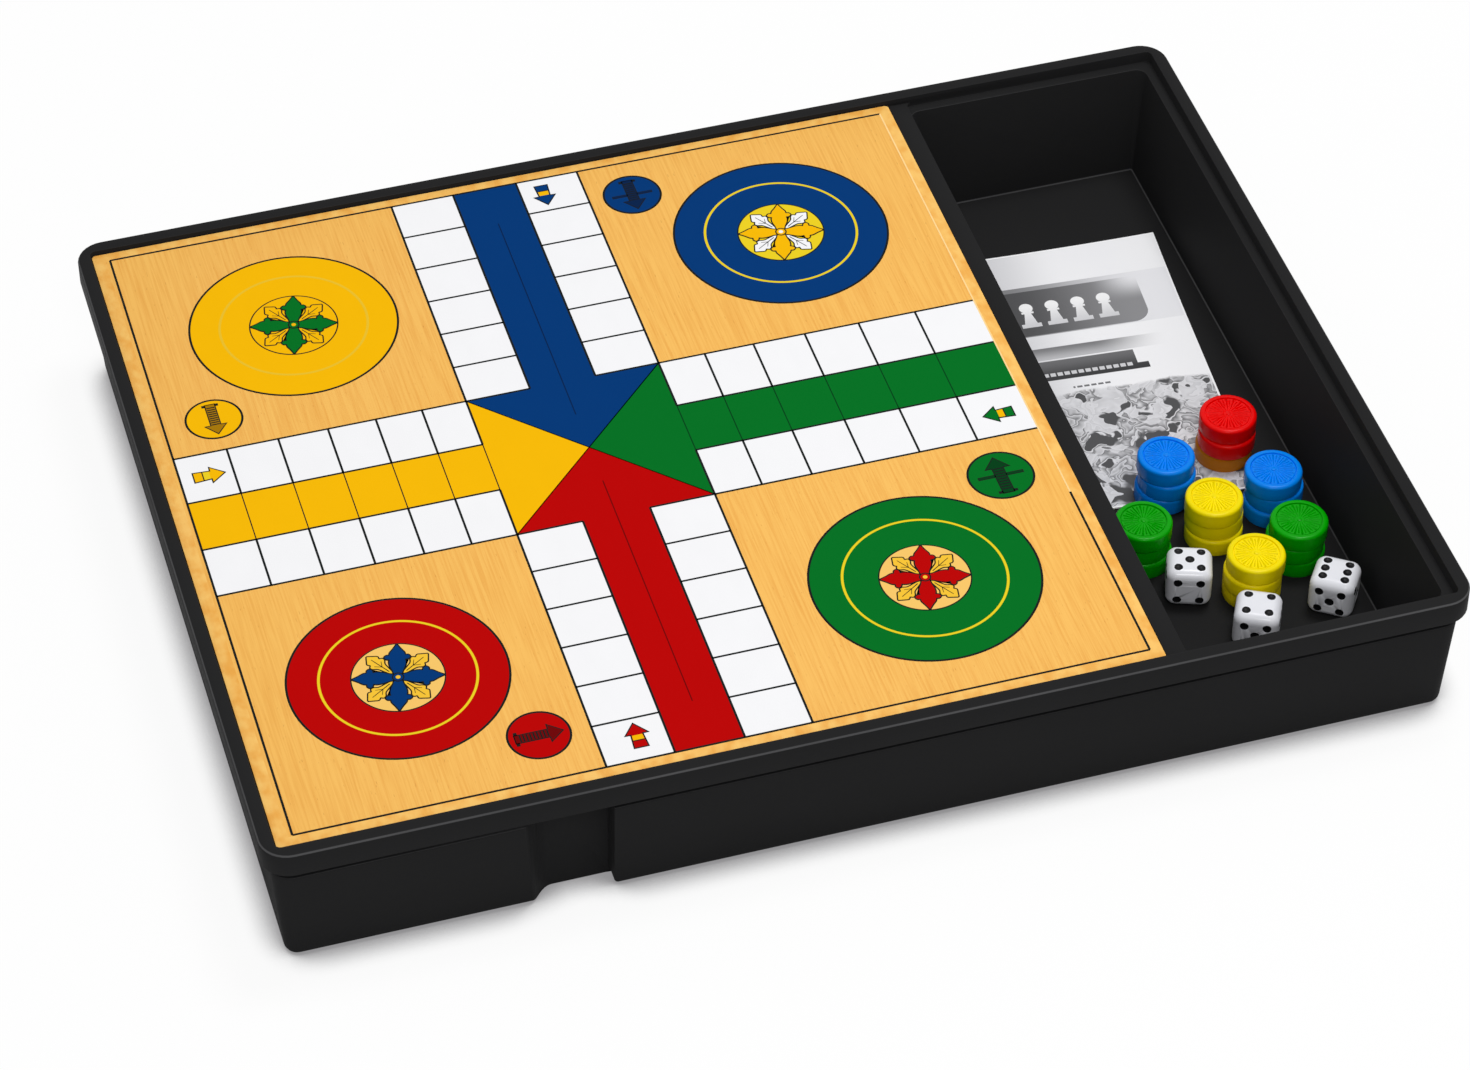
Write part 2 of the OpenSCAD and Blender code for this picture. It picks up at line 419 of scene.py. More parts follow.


# %% [markdown]
# The tray is injection moulded from black plastic. Its satin skin comes from a fine grain in the
# mould. The grain is far too small to model, so it is a bump. Handling polishes the skin a
# little in patches, which a slow noise in the roughness gives. A lighter colour is painted along
# the upper edges as a highlight, for the thin lines of light that their rounds catch. They are
# found by their slope: on a level face the normal's height is 1, on a wall it is near 0, and
# only the rounds lie in between.

# %% Black plastic
DARK_BLACK = (0.0165, 0.0165, 0.017, 1.0)
LIGHT_BLACK = (0.0195, 0.0195, 0.02, 1.0)
# Colour of the painted highlight on the upper edges
EDGE_HIGHLIGHT_BLACK = (0.1, 0.1, 0.103, 1.0)
WALL_SLOPE = (0.3, 0.5)
LEVEL_SLOPE = (0.8, 0.96)


def black_plastic():
    """Satin moulded plastic with a fine grain, faint polished patches and a painted highlight on
    its upper edges.
    """
    finish = Finish("black_plastic", IOR=1.46, Specular_IOR_Level=0.015)
    patches = finish.cloud(finish.stretched(0.06, 0.06, 0.03), detail=4.0)
    grain = finish.cloud(finish.stretched(0.5 * MM, 0.5 * MM, 0.5 * MM), detail=2.0)
    scratches = finish.cloud(finish.stretched(30 * MM, 0.8 * MM, 0.8 * MM), detail=2.0)
    scuffs = scratches.ramp(0.68, 0.8)
    colour = finish.mix(patches, DARK_BLACK, LIGHT_BLACK)
    slope = finish.part(finish.node("ShaderNodeTexCoord", output="Normal"), "Z")
    # Painted highlight: a lighter colour on the upward-facing rounds of the edges
    painted_edge_highlight = slope.ramp(*WALL_SLOPE) * (1 - slope.ramp(*LEVEL_SLOPE)) * (0.4 + 0.6 * patches)
    return finish.vary(
        Base_Color=finish.mix(painted_edge_highlight, colour, EDGE_HIGHLIGHT_BLACK),
        Roughness=0.44 + 0.08 * patches + 0.04 * grain + 0.08 * scuffs,
        Normal=finish.bump(grain, 0.025 * MM))


tray_skin = black_plastic()
print("finish:", tray_skin.name)

# %% [markdown]
# The tray is made the way its mould is cut. One loft gives the outside: foot, leaning wall,
# collar and rim. Lofts of the hollows are then taken away from it: the shallow mouth, the board's
# seat with its deep bay, the well and the finger notch. A bevel runs over every sharp edge that
# is left, because on a real moulding each edge has a small round that catches the light. All
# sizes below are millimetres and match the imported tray.

# %% Tray sizes
RIM_WIDTH = 5
COLLAR_CORNER = 10
COLLAR_HEIGHT = 9.5
COLLAR_OUT = 3
WALL_LEAN = 2.3
BASE_ROUND = 3.5
RIM_ROUND = 1
FLOOR_THICK = 3
LEDGE_WIDTH = 3.4
POCKET_LEAN = 3
POCKET_CORNER = 4
MOUTH_CORNER = 2
FILLET = 0.8
DIVIDER_WIDTH = 7
DIVIDER_DROP = 2.8
FOOT_RING = 9
FOOT_RELIEF = 0.8
BOARD_GAP = 0.5
SEAM_HEIGHT = 4.4
SEAM_DEPTH = 2.6
SEAM_FULL = 0.9
PAST = 2

half_w = tray_high.x / MM
half_d = tray_high.y / MM
rim_z = tray_high.z / MM
ledge_z = panel_low.z / MM
divider_z = rim_z - DIVIDER_DROP
collar_z = rim_z - COLLAR_HEIGHT
foot_inset = COLLAR_OUT + WALL_LEAN
mouth_y = half_d - RIM_WIDTH
bay_x0 = RIM_WIDTH - half_w
bay_x1 = panel_high.x / MM + BOARD_GAP
well_x0 = bay_x1 + DIVIDER_WIDTH
well_x1 = half_w - RIM_WIDTH
print("bay from", round(bay_x0, 1), "to", round(bay_x1, 1), "and well to", round(well_x1, 1))

# %% Outside of the tray
ROUND_STEPS = 5


def tray_plan(inset, z):
    """The tray's outline at a height, drawn in from the collar by inset."""
    return rounded_plan(
        inset - half_w, half_w - inset, inset - half_d, half_d - inset, COLLAR_CORNER - inset, z)


def quarter(steps):
    """Sine and cosine over a quarter turn."""
    turns = [math.radians(90) * step / steps for step in range(steps + 1)]
    return [(math.sin(turn), math.cos(turn)) for turn in turns]


def tray_outside():
    """Foot, leaning wall, the dark seam under the collar, collar and rim as one solid."""
    foot = [tray_plan(foot_inset + BASE_ROUND * (1 - s), BASE_ROUND * (1 - c))
            for s, c in quarter(ROUND_STEPS)]
    seam = [tray_plan(COLLAR_OUT, collar_z - SEAM_HEIGHT),
            tray_plan(COLLAR_OUT + SEAM_DEPTH, collar_z - SEAM_HEIGHT * SEAM_FULL),
            tray_plan(COLLAR_OUT + SEAM_DEPTH, collar_z), tray_plan(0, collar_z)]
    rim = [tray_plan(RIM_ROUND * (1 - c), rim_z - RIM_ROUND * (1 - s))
           for s, c in quarter(ROUND_STEPS)]
    return lofted("tray_body", [*foot, *seam, *rim], tray_skin)


# %% Hollows of the tray
FILLET_STEPS = 3


def hollow_plan(x0, x1, y, inset, z):
    """The outline of a pocket at a height, with corners that shrink as it narrows."""
    return rounded_plan(
        x0 + inset, x1 - inset, inset - y, y - inset, POCKET_CORNER - inset, z)


def pocket(x0, x1):
    """A leaning pocket with a filleted floor."""
    y = mouth_y - LEDGE_WIDTH
    fillet = [
        hollow_plan(x0, x1, y, POCKET_LEAN + FILLET * (1 - s), FLOOR_THICK + FILLET * (1 - c))
        for s, c in quarter(FILLET_STEPS)]
    top = [hollow_plan(x0, x1, y, 0, z) for z in (ledge_z, ledge_z + 1)]
    return lofted("pocket", [*fillet, *top])


def mouth(x0, x1, low, high):
    """A shallow opening as deep as the tray's mouth."""
    return lofted("mouth", [
        rounded_plan(x0, x1, -mouth_y, mouth_y, MOUTH_CORNER, z) for z in (low, high)])


def foot_relief():
    """The shallow recess inside the foot ring."""
    inset = foot_inset + BASE_ROUND + FOOT_RING
    x = half_w - inset
    y = half_d - inset
    return lofted("foot_relief", [
        rounded_plan(-x, x, -y, y, COLLAR_CORNER, z) for z in (-PAST, FOOT_RELIEF)])


# %% [markdown]
# Under the collar, in the front wall, there is a notch for the fingers. Its left end runs in on
# a smooth curve and its right end is square. Inside, the wall follows the notch with a bulge, so
# that it has no hole. Four posts with spreading feet stand in the bay and carry the board.

# %% Finger notch
NOTCH_END = 115.5
NOTCH_LENGTH = 34.5
NOTCH_RUN = 15
NOTCH_DEPTH = 7
NOTCH_WALL = 3
NOTCH_ROUND = 4
NOTCH_STEPS = 12
NOTCH_ROUND_STEPS = 6

notch_x1 = NOTCH_END - half_w
notch_x0 = notch_x1 - NOTCH_LENGTH


def notch_plan(front, grow, z):
    """The notch from above; grow widens and deepens it."""
    back = foot_inset - half_d + NOTCH_DEPTH + grow
    run_in = []
    for step in range(NOTCH_STEPS + 1):
        rise = (1 - math.cos(math.pi * step / NOTCH_STEPS)) / 2
        x = notch_x0 - grow + NOTCH_RUN * step / NOTCH_STEPS
        run_in.append((x, front + (back - front) * rise, z))
    # The list runs clockwise from above, so it is turned round
    return [*run_in, (notch_x1 + grow, back, z), (notch_x1 + grow, front, z)][::-1]


def notch():
    """The space of the finger notch, open to the front and below."""
    return lofted("notch", [notch_plan(-half_d, 0, z) for z in (-PAST, collar_z)])


def notch_bulge():
    """The wall behind the notch, seen from inside the bay."""
    front = foot_inset - half_d + BASE_ROUND
    return lofted("notch_bulge", [
        notch_plan(front, NOTCH_WALL, z) for z in (FLOOR_THICK - 1, ledge_z)])


def notch_corner():
    """What is taken off the lower corner at the notch's square end, to leave it round."""
    arc = [(notch_x1 + NOTCH_ROUND * (1 - c), NOTCH_ROUND * (1 - s))
           for s, c in quarter(NOTCH_ROUND_STEPS)]
    outline = [(notch_x1 - 1, -1), (notch_x1 + NOTCH_ROUND, -1), *arc[::-1],
               (notch_x1 - 1, NOTCH_ROUND)]
    ends = (-half_d, foot_inset - half_d + NOTCH_DEPTH)
    form = bmesh.new()
    add_loft(form, [[(x, y, z) for x, z in outline] for y in ends])
    bmesh.ops.recalc_face_normals(form, faces=form.faces[:])
    return add_object("notch_corner", form)


# %% Posts
POST_DIAMETER = 10
POST_REACH = 75


def post(side, end):
    """One post under the board with its spreading foot."""
    x = (bay_x0 + bay_x1) / 2 + side * POST_REACH
    y = end * POST_REACH
    r = POST_DIAMETER / 2
    spread = [(2 * r, FLOOR_THICK / 2), (2 * r - FLOOR_THICK / 2, FLOOR_THICK),
              (r, FLOOR_THICK + r), (r, ledge_z)]
    return lofted(f"post_{side}_{end}", [circle_plan(x, y, radius, z) for radius, z in spread])


# %% Cuts and edges
EDGE_ROUND = 0.45
EDGE_STEPS = 2
SHARP_FROM = 40


def combine(body, tool, operation):
    """Adds or takes away one solid and discards it."""
    change = body.modifiers.new(tool.name, "BOOLEAN")
    change.operation = operation
    change.solver = "EXACT"
    change.object = tool
    settle(body)
    bpy.data.objects.remove(tool)


def tidy_edges(thing):
    """Joins doubled corners and flat neighbours that a cut leaves."""
    form = bmesh.new()
    form.from_mesh(thing.data)
    bmesh.ops.remove_doubles(form, verts=form.verts[:], dist=0.01 * MM)
    bmesh.ops.dissolve_limit(
        form, angle_limit=math.radians(0.5), verts=form.verts[:], edges=form.edges[:])
    form.to_mesh(thing.data)
    form.free()


def round_edges(thing):
    """Rounds every sharp edge."""
    edge = thing.modifiers.new("edges", "BEVEL")
    edge.width = EDGE_ROUND * MM
    edge.segments = EDGE_STEPS
    edge.limit_method = "ANGLE"
    edge.angle_limit = math.radians(SHARP_FROM)
    edge.use_clamp_overlap = False
    settle(thing)
    # The bevel can push a corner past the foot, so it is pressed flat again
    for vertex in thing.data.vertices:
        vertex.co.z = max(0, vertex.co.z)


# %% Make the tray


def make_tray():
    """The whole moulding."""
    tray = tray_outside()
    combine(tray, mouth(bay_x0, well_x1, divider_z, rim_z + PAST), "DIFFERENCE")
    combine(tray, mouth(bay_x0, bay_x1, ledge_z, rim_z), "DIFFERENCE")
    combine(tray, mouth(well_x0, well_x1, ledge_z, rim_z), "DIFFERENCE")
    combine(tray, pocket(bay_x0 + LEDGE_WIDTH, bay_x1 - LEDGE_WIDTH), "DIFFERENCE")
    combine(tray, pocket(well_x0, well_x1 - LEDGE_WIDTH), "DIFFERENCE")
    combine(tray, notch_bulge(), "UNION")
    combine(tray, notch(), "DIFFERENCE")
    combine(tray, notch_corner(), "DIFFERENCE")
    combine(tray, foot_relief(), "DIFFERENCE")
    for side in (-1, 1):
        for end in (-1, 1):
            combine(tray, post(side, end), "UNION")
    tidy_edges(tray)
    round_edges(tray)
    return smooth(tray, 30)


piece(make_tray(), "tray", "black_plastic", "tray")

# %% [markdown]
# What repeats is grown by Geometry Nodes. A recipe is a node group with named inputs. It is put
# on an object as a modifier, its inputs are set, and the result is taken off again as a plain
# mesh. Three recipes serve the whole object: one repeats a motif round an axis, one lays rungs
# along a track, and one sinks pips into a die.

# %% Recipes for Geometry Nodes


class Recipe(Nodes):
    """A Geometry Nodes tree with named inputs, whose result is a plain mesh."""

    def __init__(self, name, *inputs):
        super().__init__(bpy.data.node_groups.new(name, "GeometryNodeTree"))
        face = self.tree.interface
        face.new_socket("Geometry", in_out="INPUT", socket_type="NodeSocketGeometry")
        face.new_socket("Geometry", in_out="OUTPUT", socket_type="NodeSocketGeometry")
        self.keys = {}
        for label, kind in (*inputs, ("Material", "Material")):
            socket = face.new_socket(label, in_out="INPUT", socket_type="NodeSocket" + kind)
            self.keys[label] = socket.identifier
        self.entry = self.tree.nodes.new("NodeGroupInput")

    def input(self, label):
        return Value(self, self.entry.outputs[label])

    def end(self, geometry, material):
        """Makes the copies real, gives them their material and closes the tree."""
        real = self.node("GeometryNodeRealizeInstances", inputs={"Geometry": geometry})
        ready = self.node(
            "GeometryNodeSetMaterial", inputs={"Geometry": real, "Material": material})
        out = self.tree.nodes.new("NodeGroupOutput")
        self.put(out.inputs[0], ready)

    def grow(self, thing, **given):
        """Runs the recipe on an object and leaves a plain mesh."""
        change = thing.modifiers.new(self.tree.name, "NODES")
        change.node_group = self.tree
        for label, held in given.items():
            change[self.keys[label.replace("_", " ")]] = held
        return settle(thing)


# %% Two recipes


def around_recipe():
    """Copies of a motif at even turns round the Z axis."""
    recipe = Recipe("around", ("Copies", "Int"), ("Start", "Float"))
    copies = recipe.input("Copies")
    spots = recipe.node("GeometryNodePoints", inputs={"Count": copies})
    index = recipe.node("GeometryNodeInputIndex")
    turn = recipe.input("Start") + 2 * math.pi * index / copies
    rotation = recipe.node("ShaderNodeCombineXYZ", inputs={"Z": turn})
    motif = recipe.input("Geometry")
    ring = recipe.node("GeometryNodeInstanceOnPoints", inputs={
        "Points": spots, "Instance": motif, "Rotation": rotation})
    recipe.end(ring, recipe.input("Material"))
    return recipe


def rungs_recipe():
    """Bars across a track that runs along X. Growth makes the outer spaces wider."""
    recipe = Recipe(
        "rungs", ("Spaces", "Int"), ("Rungs", "Int"), ("Start", "Float"), ("Reach", "Float"),
        ("Growth", "Float"), ("Width", "Float"), ("Line", "Float"), ("Height", "Float"))
    spots = recipe.node("GeometryNodePoints", inputs={"Count": recipe.input("Rungs")})
    index = recipe.node("GeometryNodeInputIndex")
    share = (index + 1) / recipe.input("Spaces")
    run = recipe.input("Reach") - recipe.input("Start")
    along = recipe.input("Start") + run * share * (1 + recipe.input("Growth") * (share - 1))
    place = recipe.node(
        "ShaderNodeCombineXYZ", inputs={"X": along, "Z": recipe.input("Height") / 2})
    set_out = recipe.node("GeometryNodeSetPosition", inputs={"Geometry": spots, "Position": place})
    size = recipe.node("ShaderNodeCombineXYZ", inputs={
        "X": recipe.input("Line"), "Y": recipe.input("Width"), "Z": recipe.input("Height")})
    bar = recipe.node("GeometryNodeMeshCube", inputs={"Size": size})
    bars = recipe.node("GeometryNodeInstanceOnPoints", inputs={"Points": set_out, "Instance": bar})
    recipe.end(bars, recipe.input("Material"))
    return recipe


around = around_recipe()
rungs = rungs_recipe()
print("recipes:", around.tree.name, rungs.tree.name)

# %% [markdown]
# The playing board is a thin wooden panel with a printed sheet glued on it. The sheet shows
# light maple, so its wood is a print too: fine streaks and a few flecks along the board's depth,
# and outside the frame line a warmer, wavier border. The panel below has bare wood and a
# three-ply edge.

# %% Wood finishes
BOARD_SIDE = (panel_high.x - panel_low.x) / MM
BOARD_X = (panel_high.x + panel_low.x) / 2 / MM
FACE_Z = sheet_high.z / MM
FRAME_LEFT = -144
FRAME_RIGHT = 145.7
FRAME_FRONT = -145
FRAME_BACK = 146
BORDER_FROM = 145.5
PALE_FROM = -66


def printed_maple():
    """The printed wood of the playing face."""
    finish = Finish("printed_maple", Specular_IOR_Level=0.1)
    streaks = finish.cloud(finish.stretched(0.9 * MM, 34 * MM, 1), detail=4.0, roughness=0.6)
    boards = finish.cloud(finish.stretched(26 * MM, 120 * MM, 1), detail=2.0)
    flecks = finish.cloud(finish.stretched(0.45 * MM, 3.5 * MM, 1), detail=1.0).ramp(0.7, 0.78)
    colour = finish.mix(boards, tone(245, 186, 92), tone(248, 193, 99))
    colour = finish.mix(streaks.ramp(0.35, 0.75) * 0.75, colour, tone(232, 164, 72))
    colour = finish.mix(flecks * 0.5, colour, tone(190, 116, 42))
    across = (finish.part(finish.place, "X") - BOARD_X * MM).size()
    depth = finish.part(finish.place, "Y").size()
    border = across.most(depth) > BORDER_FROM * MM
    figure = finish.cloud(finish.stretched(5 * MM, 7 * MM, 1), detail=2.0).ramp(0.3, 0.75)
    warm = finish.mix(figure, tone(252, 202, 112), tone(238, 168, 72))
    colour = finish.mix(border * 0.8, colour, warm)
    return finish.vary(
        Base_Color=colour,
        Roughness=0.46 + 0.08 * streaks,
        Normal=finish.bump(streaks, 0.006 * MM))


PLIES = 3


def plywood():
    """Bare light wood: three plies at the edge, long grain on the underside."""
    finish = Finish("plywood", Specular_IOR_Level=0.2)
    grain = finish.cloud(finish.stretched(1.2 * MM, 40 * MM, 1.2 * MM), detail=4.0, roughness=0.6)
    middle = panel_low.z / 2 + panel_high.z / 2
    from_middle = (finish.part(finish.place, "Z") - middle).size()
    core = from_middle < (panel_high.z - panel_low.z) / PLIES / 2
    colour = finish.mix(grain, tone(222, 178, 116), tone(198, 149, 88))
    end_grain = finish.cloud(finish.stretched(0.7 * MM, 0.7 * MM, 6 * MM))
    dark_ply = finish.mix(end_grain, tone(176, 122, 66), tone(146, 98, 52))
    return finish.vary(
        Base_Color=finish.mix(core * 0.7, colour, dark_ply),
        Roughness=0.6 + 0.12 * grain,
        Normal=finish.bump(grain, 0.03 * MM))


# %% Panel and sheet
PANEL_EASE = 0.25
SHEET_EASE = 0.08
EASE_MIDDLE = 0.3
BOARD_CORNER = 1.5


def board_plan(inset, z):
    """The board's outline at a height."""
    reach = BOARD_SIDE / 2 - inset
    return rounded_plan(BOARD_X - reach, BOARD_X + reach, -reach, reach, BOARD_CORNER - inset, z)


def eased_slab(name, low, high, ease, material):
    """A slab of the board's outline with both its edges eased."""
    half_way = ease * EASE_MIDDLE
    stations = [(ease, low), (half_way, low + half_way), (0, low + ease),
                (0, high - ease), (half_way, high - half_way), (ease, high)]
    plans = [board_plan(inset, z) for inset, z in stations]
    return smooth(lofted(name, plans, material), 60)


panel = eased_slab("board_panel_wood", ledge_z, panel_high.z / MM, PANEL_EASE, plywood())
sheet = eased_slab("board_sheet_print", sheet_low.z / MM, FACE_Z, SHEET_EASE, printed_maple())
piece(panel, "board", "panel_wood", "board_panel")
piece(sheet, "board", "printed_sheet", "board_face")

# %% [markdown]
# The track is screen printed. Each ink is modelled as a very thin layer that stands on the
# sheet, a few hundredths of a millimetre high, so that its edges stay crisp from any distance.
# One mesh holds everything of one ink. Later layers stand a little higher than the ones below.

# %% Inks
LAYER = 0.02
INKS = {
    "white": tone(246, 246, 248), "black": tone(26, 30, 30), "blue": tone(2, 56, 118),
    "yellow": tone(247, 186, 4), "red": tone(186, 3, 3), "green": tone(2, 111, 35),
    "gold": tone(236, 208, 36), "sand": tone(247, 199, 106), "pale_yellow": tone(234, 192, 48),
    "leaf_yellow": tone(246, 196, 56), "deep_blue": tone(6, 34, 74), "deep_red": tone(110, 4, 6),
    "deep_green": tone(2, 62, 24), "deep_yellow": tone(166, 120, 8),
    "pale_wood": tone(254, 217, 150)}


def ink_finish(name, colour):
    """Screen ink: one colour, faintly uneven, over the sheet's tooth."""
    finish = Finish("ink_" + name, Specular_IOR_Level=0.02)
    uneven = finish.cloud(finish.stretched(9 * MM, 16 * MM, 1), detail=4.0)
    tooth = finish.cloud(finish.stretched(0.8 * MM, 6 * MM, 1), detail=2.0)
    return finish.vary(
        Base_Color=finish.mix(uneven, darker(colour, 0.96), colour),
        Roughness=0.44 + 0.1 * tooth,
        Normal=finish.bump(tooth, 0.004 * MM))


ink_forms = {name: bmesh.new() for name in INKS}
ink_skins = {name: ink_finish(name, colour) for name, colour in INKS.items()}
print("inks:", ", ".join(INKS))

# %% [markdown]
# All shapes on the print are outlines in board coordinates: millimetres from the board's middle,
# x to the right and y to the back. Four drawing tools are enough for them: a filled shape, a
# ring, a stroke along a path, and an outline grown outwards for a black edge.

# %% Drawing tools


def anticlockwise(outline):
    """The outline, turned round if it runs clockwise."""
    twice_area = 0
    for (x0, y0), (x1, y1) in zip(outline, outline[1:] + outline[:1]):
        twice_area += x0 * y1 - x1 * y0
    return outline if twice_area > 0 else outline[::-1]


def at_height(outline, z):
    """A flat outline, placed on the board at a height above the sheet."""
    return [(BOARD_X + x, y, FACE_Z + z) for x, y in outline]


def fill(ink, outline, layer=1):
    """A filled shape."""
    outline = anticlockwise(outline)
    add_loft(ink_forms[ink], [at_height(outline, -LAYER / 2), at_height(outline, layer * LAYER)])


def circle(x, y, radius, steps=96):
    """The outline of a circle."""
    return [(px, py) for px, py, _ in circle_plan(x, y, radius, 0, steps)]


def ring(ink, x, y, outer, inner, layer):
    """A ring with a square section."""
    top = layer * LAYER
    section = [(outer, -LAYER / 2), (outer, top), (inner, top), (inner, -LAYER / 2)]
    plans = [at_height(circle(x, y, radius), z) for radius, z in section]
    add_walls(ink_forms[ink], plans, closed=True)


def disc(ink, x, y, radius, layer, steps=96):
    """A filled circle."""
    fill(ink, circle(x, y, radius, steps), layer)


# %% Strokes and grown outlines


def side_steps(path, width):
    """For each point of an open path, the step to its left edge."""
    steps = []
    for index in range(len(path)):
        before = Vector(path[max(index - 1, 0)])
        after = Vector(path[min(index + 1, len(path) - 1)])
        along = (after - before).normalized()
        steps.append(Vector((-along.y, along.x)) * width / 2)
    return steps


def stroke(ink, path, width, layer=2):
    """A line of even width along an open path."""
    steps = side_steps(path, width)
    left = [tuple(Vector(point) + step) for point, step in zip(path, steps)]
    right = [tuple(Vector(point) - step) for point, step in zip(path, steps)]
    fill(ink, left + right[::-1], layer)


SHARP_TIP = 0.2
SHORTEST_SHARE = 0.5


def grown(outline, reach):
    """An outline moved outwards by reach."""
    outline = anticlockwise(outline)
    count = len(outline)
    moved = []
    for index in range(count):
        here = Vector(outline[index])
        before = (here - Vector(outline[index - 1])).normalized()
        after = (Vector(outline[(index + 1) % count]) - here).normalized()
        outward = Vector((before.y + after.y, -before.x - after.x))
        # At a very sharp tip the two sides cancel out, so the step runs along the tip
        if outward.length < SHARP_TIP:
            outward = before - after
        outward.normalize()
        share = max(SHORTEST_SHARE, outward.dot(Vector((before.y, -before.x))))
        moved.append(tuple(here + outward * reach / share))
    return moved


def placed(outline, x, y, turn):
    """An outline turned and moved to its place on the board."""
    c = math.cos(turn)
    s = math.sin(turn)
    return [(x + px * c - py * s, y + px * s + py * c) for px, py in outline]


# %% [markdown]
# The frame line and the cross come first. The four arms share one design: a coloured lane in the
# middle, a white lane on each side and a triangle at the centre. Each arm runs from the centre to
# the frame line, so their lengths differ a little. The lines across the cells are rungs, grown by
# their recipe.

# %% The cross
CROSS_X = -5.5
CROSS_Y = 2.3
ARM_HALF = 34.8
LANE_HALF = 11.8
CELLS = 6
LINE = 0.8
FINE_LINE = 0.4
PALE_LINE = 1.4 * FINE_LINE
CENTRE_REACH = 0.86
ARMS = [
    # Colour, quarter turns from +X, reach, growth of the cells, rungs over the lane, centre line
    ("green", 0, FRAME_RIGHT - CROSS_X, 0.16, "deep_green", False),
    ("blue", 1, FRAME_BACK - CROSS_Y, 0.0, None, True),
    ("yellow", 2, CROSS_X - FRAME_LEFT, 0.10, "black", False),
    ("red", 3, CROSS_Y - FRAME_FRONT, 0.0, None, True)]


def add_rungs(ink, turn, reach, growth, middle, width, line):
    """Rungs across one lane of an arm, added to an ink."""
    maker = new_object("rungs_maker", bpy.data.meshes.new("rungs_maker"))
    rungs.grow(
        maker, Spaces=CELLS, Rungs=CELLS - 1, Start=ARM_HALF * MM, Reach=reach * MM, Growth=growth,
        Width=width * MM, Line=line * MM, Height=2 * LAYER * MM, Material=ink_skins[ink])
    lift = Matrix.Translation(Vector((BOARD_X + CROSS_X, CROSS_Y, FACE_Z)) * MM)
    aside = Matrix.Translation((0, middle * MM, 0))
    maker.data.transform(lift @ Matrix.Rotation(turn, 4, "Z") @ aside)
    ink_forms[ink].from_mesh(maker.data)
    bpy.data.objects.remove(maker)


def print_arm(colour, quarter_turns, reach, growth, lane_rungs, centre_line):
    """One arm of the cross."""
    turn = quarter_turns * math.pi / 2

    def on_arm(*points):
        return placed(list(points), CROSS_X, CROSS_Y, turn)

    for side in (-1, 1):
        inner = side * LANE_HALF
        outer = side * ARM_HALF
        fill("white", on_arm((ARM_HALF, inner), (reach, inner), (reach, outer), (ARM_HALF, outer)))
        stroke("black", on_arm((ARM_HALF, outer), (reach, outer)), LINE)
        stroke("black", on_arm((ARM_HALF, inner), (reach, inner)), LINE)
        stroke("black", on_arm((ARM_HALF, inner), (ARM_HALF, outer)), LINE)
        stroke("black", on_arm((0, 0), (ARM_HALF, outer)), FINE_LINE)
        add_rungs("black", turn, reach, growth, (inner + outer) / 2, ARM_HALF - LANE_HALF, LINE)
    fill(colour, on_arm(
        (0, 0), (ARM_HALF, -ARM_HALF), (ARM_HALF, -LANE_HALF), (reach, -LANE_HALF),
        (reach, LANE_HALF), (ARM_HALF, LANE_HALF), (ARM_HALF, ARM_HALF)))
    if lane_rungs:
        add_rungs(lane_rungs, turn, reach, growth, 0, 2 * LANE_HALF, FINE_LINE)
        stroke(lane_rungs, on_arm((ARM_HALF, -LANE_HALF), (ARM_HALF, LANE_HALF)), FINE_LINE)
    if centre_line:
        centre = on_arm((ARM_HALF / 2, 0), (reach * CENTRE_REACH, 0))
        stroke("deep_" + colour, centre, FINE_LINE)


# %% Frame line and the whole cross


def print_frame():
    """The thin line round the print. Along most of the right side it is pale, not black."""
    turns_pale = (FRAME_RIGHT, PALE_FROM)
    far_corner = (FRAME_RIGHT, FRAME_BACK)
    corners = [far_corner, (FRAME_LEFT, FRAME_BACK), (FRAME_LEFT, FRAME_FRONT),
               (FRAME_RIGHT, FRAME_FRONT), turns_pale]
    for start, end in zip(corners, corners[1:]):
        stroke("black", [start, end], LINE)
    stroke("pale_wood", [turns_pale, far_corner], PALE_LINE, 3)


print_frame()
for arm in ARMS:
    print_arm(*arm)
print("cross printed with", len(ARMS), "arms of", CELLS, "cells")

# %% [markdown]
# Each quarter has a round home with a ring and a rosette in its middle, a small badge with an
# arrow, and a block arrow on its starting cell. The rosette is a traditional kind of ornament:
# four lobed petals with slim leaves between them. Its petal is drawn by its half width at a few
# distances from the middle, smoothed, and repeated round the centre by the recipe.

# %% Sizes of homes and rosettes
HOMES = [
    # Colour, place, radius, ring, medallion, petals, leaves, copies
    ("yellow", -88.7, 93.2, 36.8, "pale_yellow", "yellow", "green", "yellow"),
    ("blue", 91.0, 92.2, 38.6, "gold", "gold", "yellow", "white"),
    ("red", -95.0, -86.5, 36.8, "gold", "sand", "blue", "leaf_yellow"),
    ("green", 85.3, -91.5, 39.2, "gold", "sand", "red", "leaf_yellow")]
RING_SHARE = 0.71
RING_WIDTH = 0.9
MEDALLION = 15.3
EDGE_LINE = 0.48
PETAL = [(1.2, 1.2), (3.2, 1.7), (5.4, 2.5), (7.2, 2.7), (8.2, 2.5), (8.5, 3.6), (9.3, 4.2),
         (10.1, 3.6), (10.2, 2.6), (11.4, 2.3), (13.0, 1.2), (14.9, 0.12)]
LEAF = [(2.4, 0.3), (5.2, 0.9), (7.6, 1.5), (8.8, 2.6), (9.8, 2.8), (10.5, 1.9), (11.6, 2.3),
        (12.6, 1.5), (14.1, 0.12)]
VEIN = [(4.0, 0.18), (12.2, 0.12), (12.2, -0.12), (4.0, -0.18)]
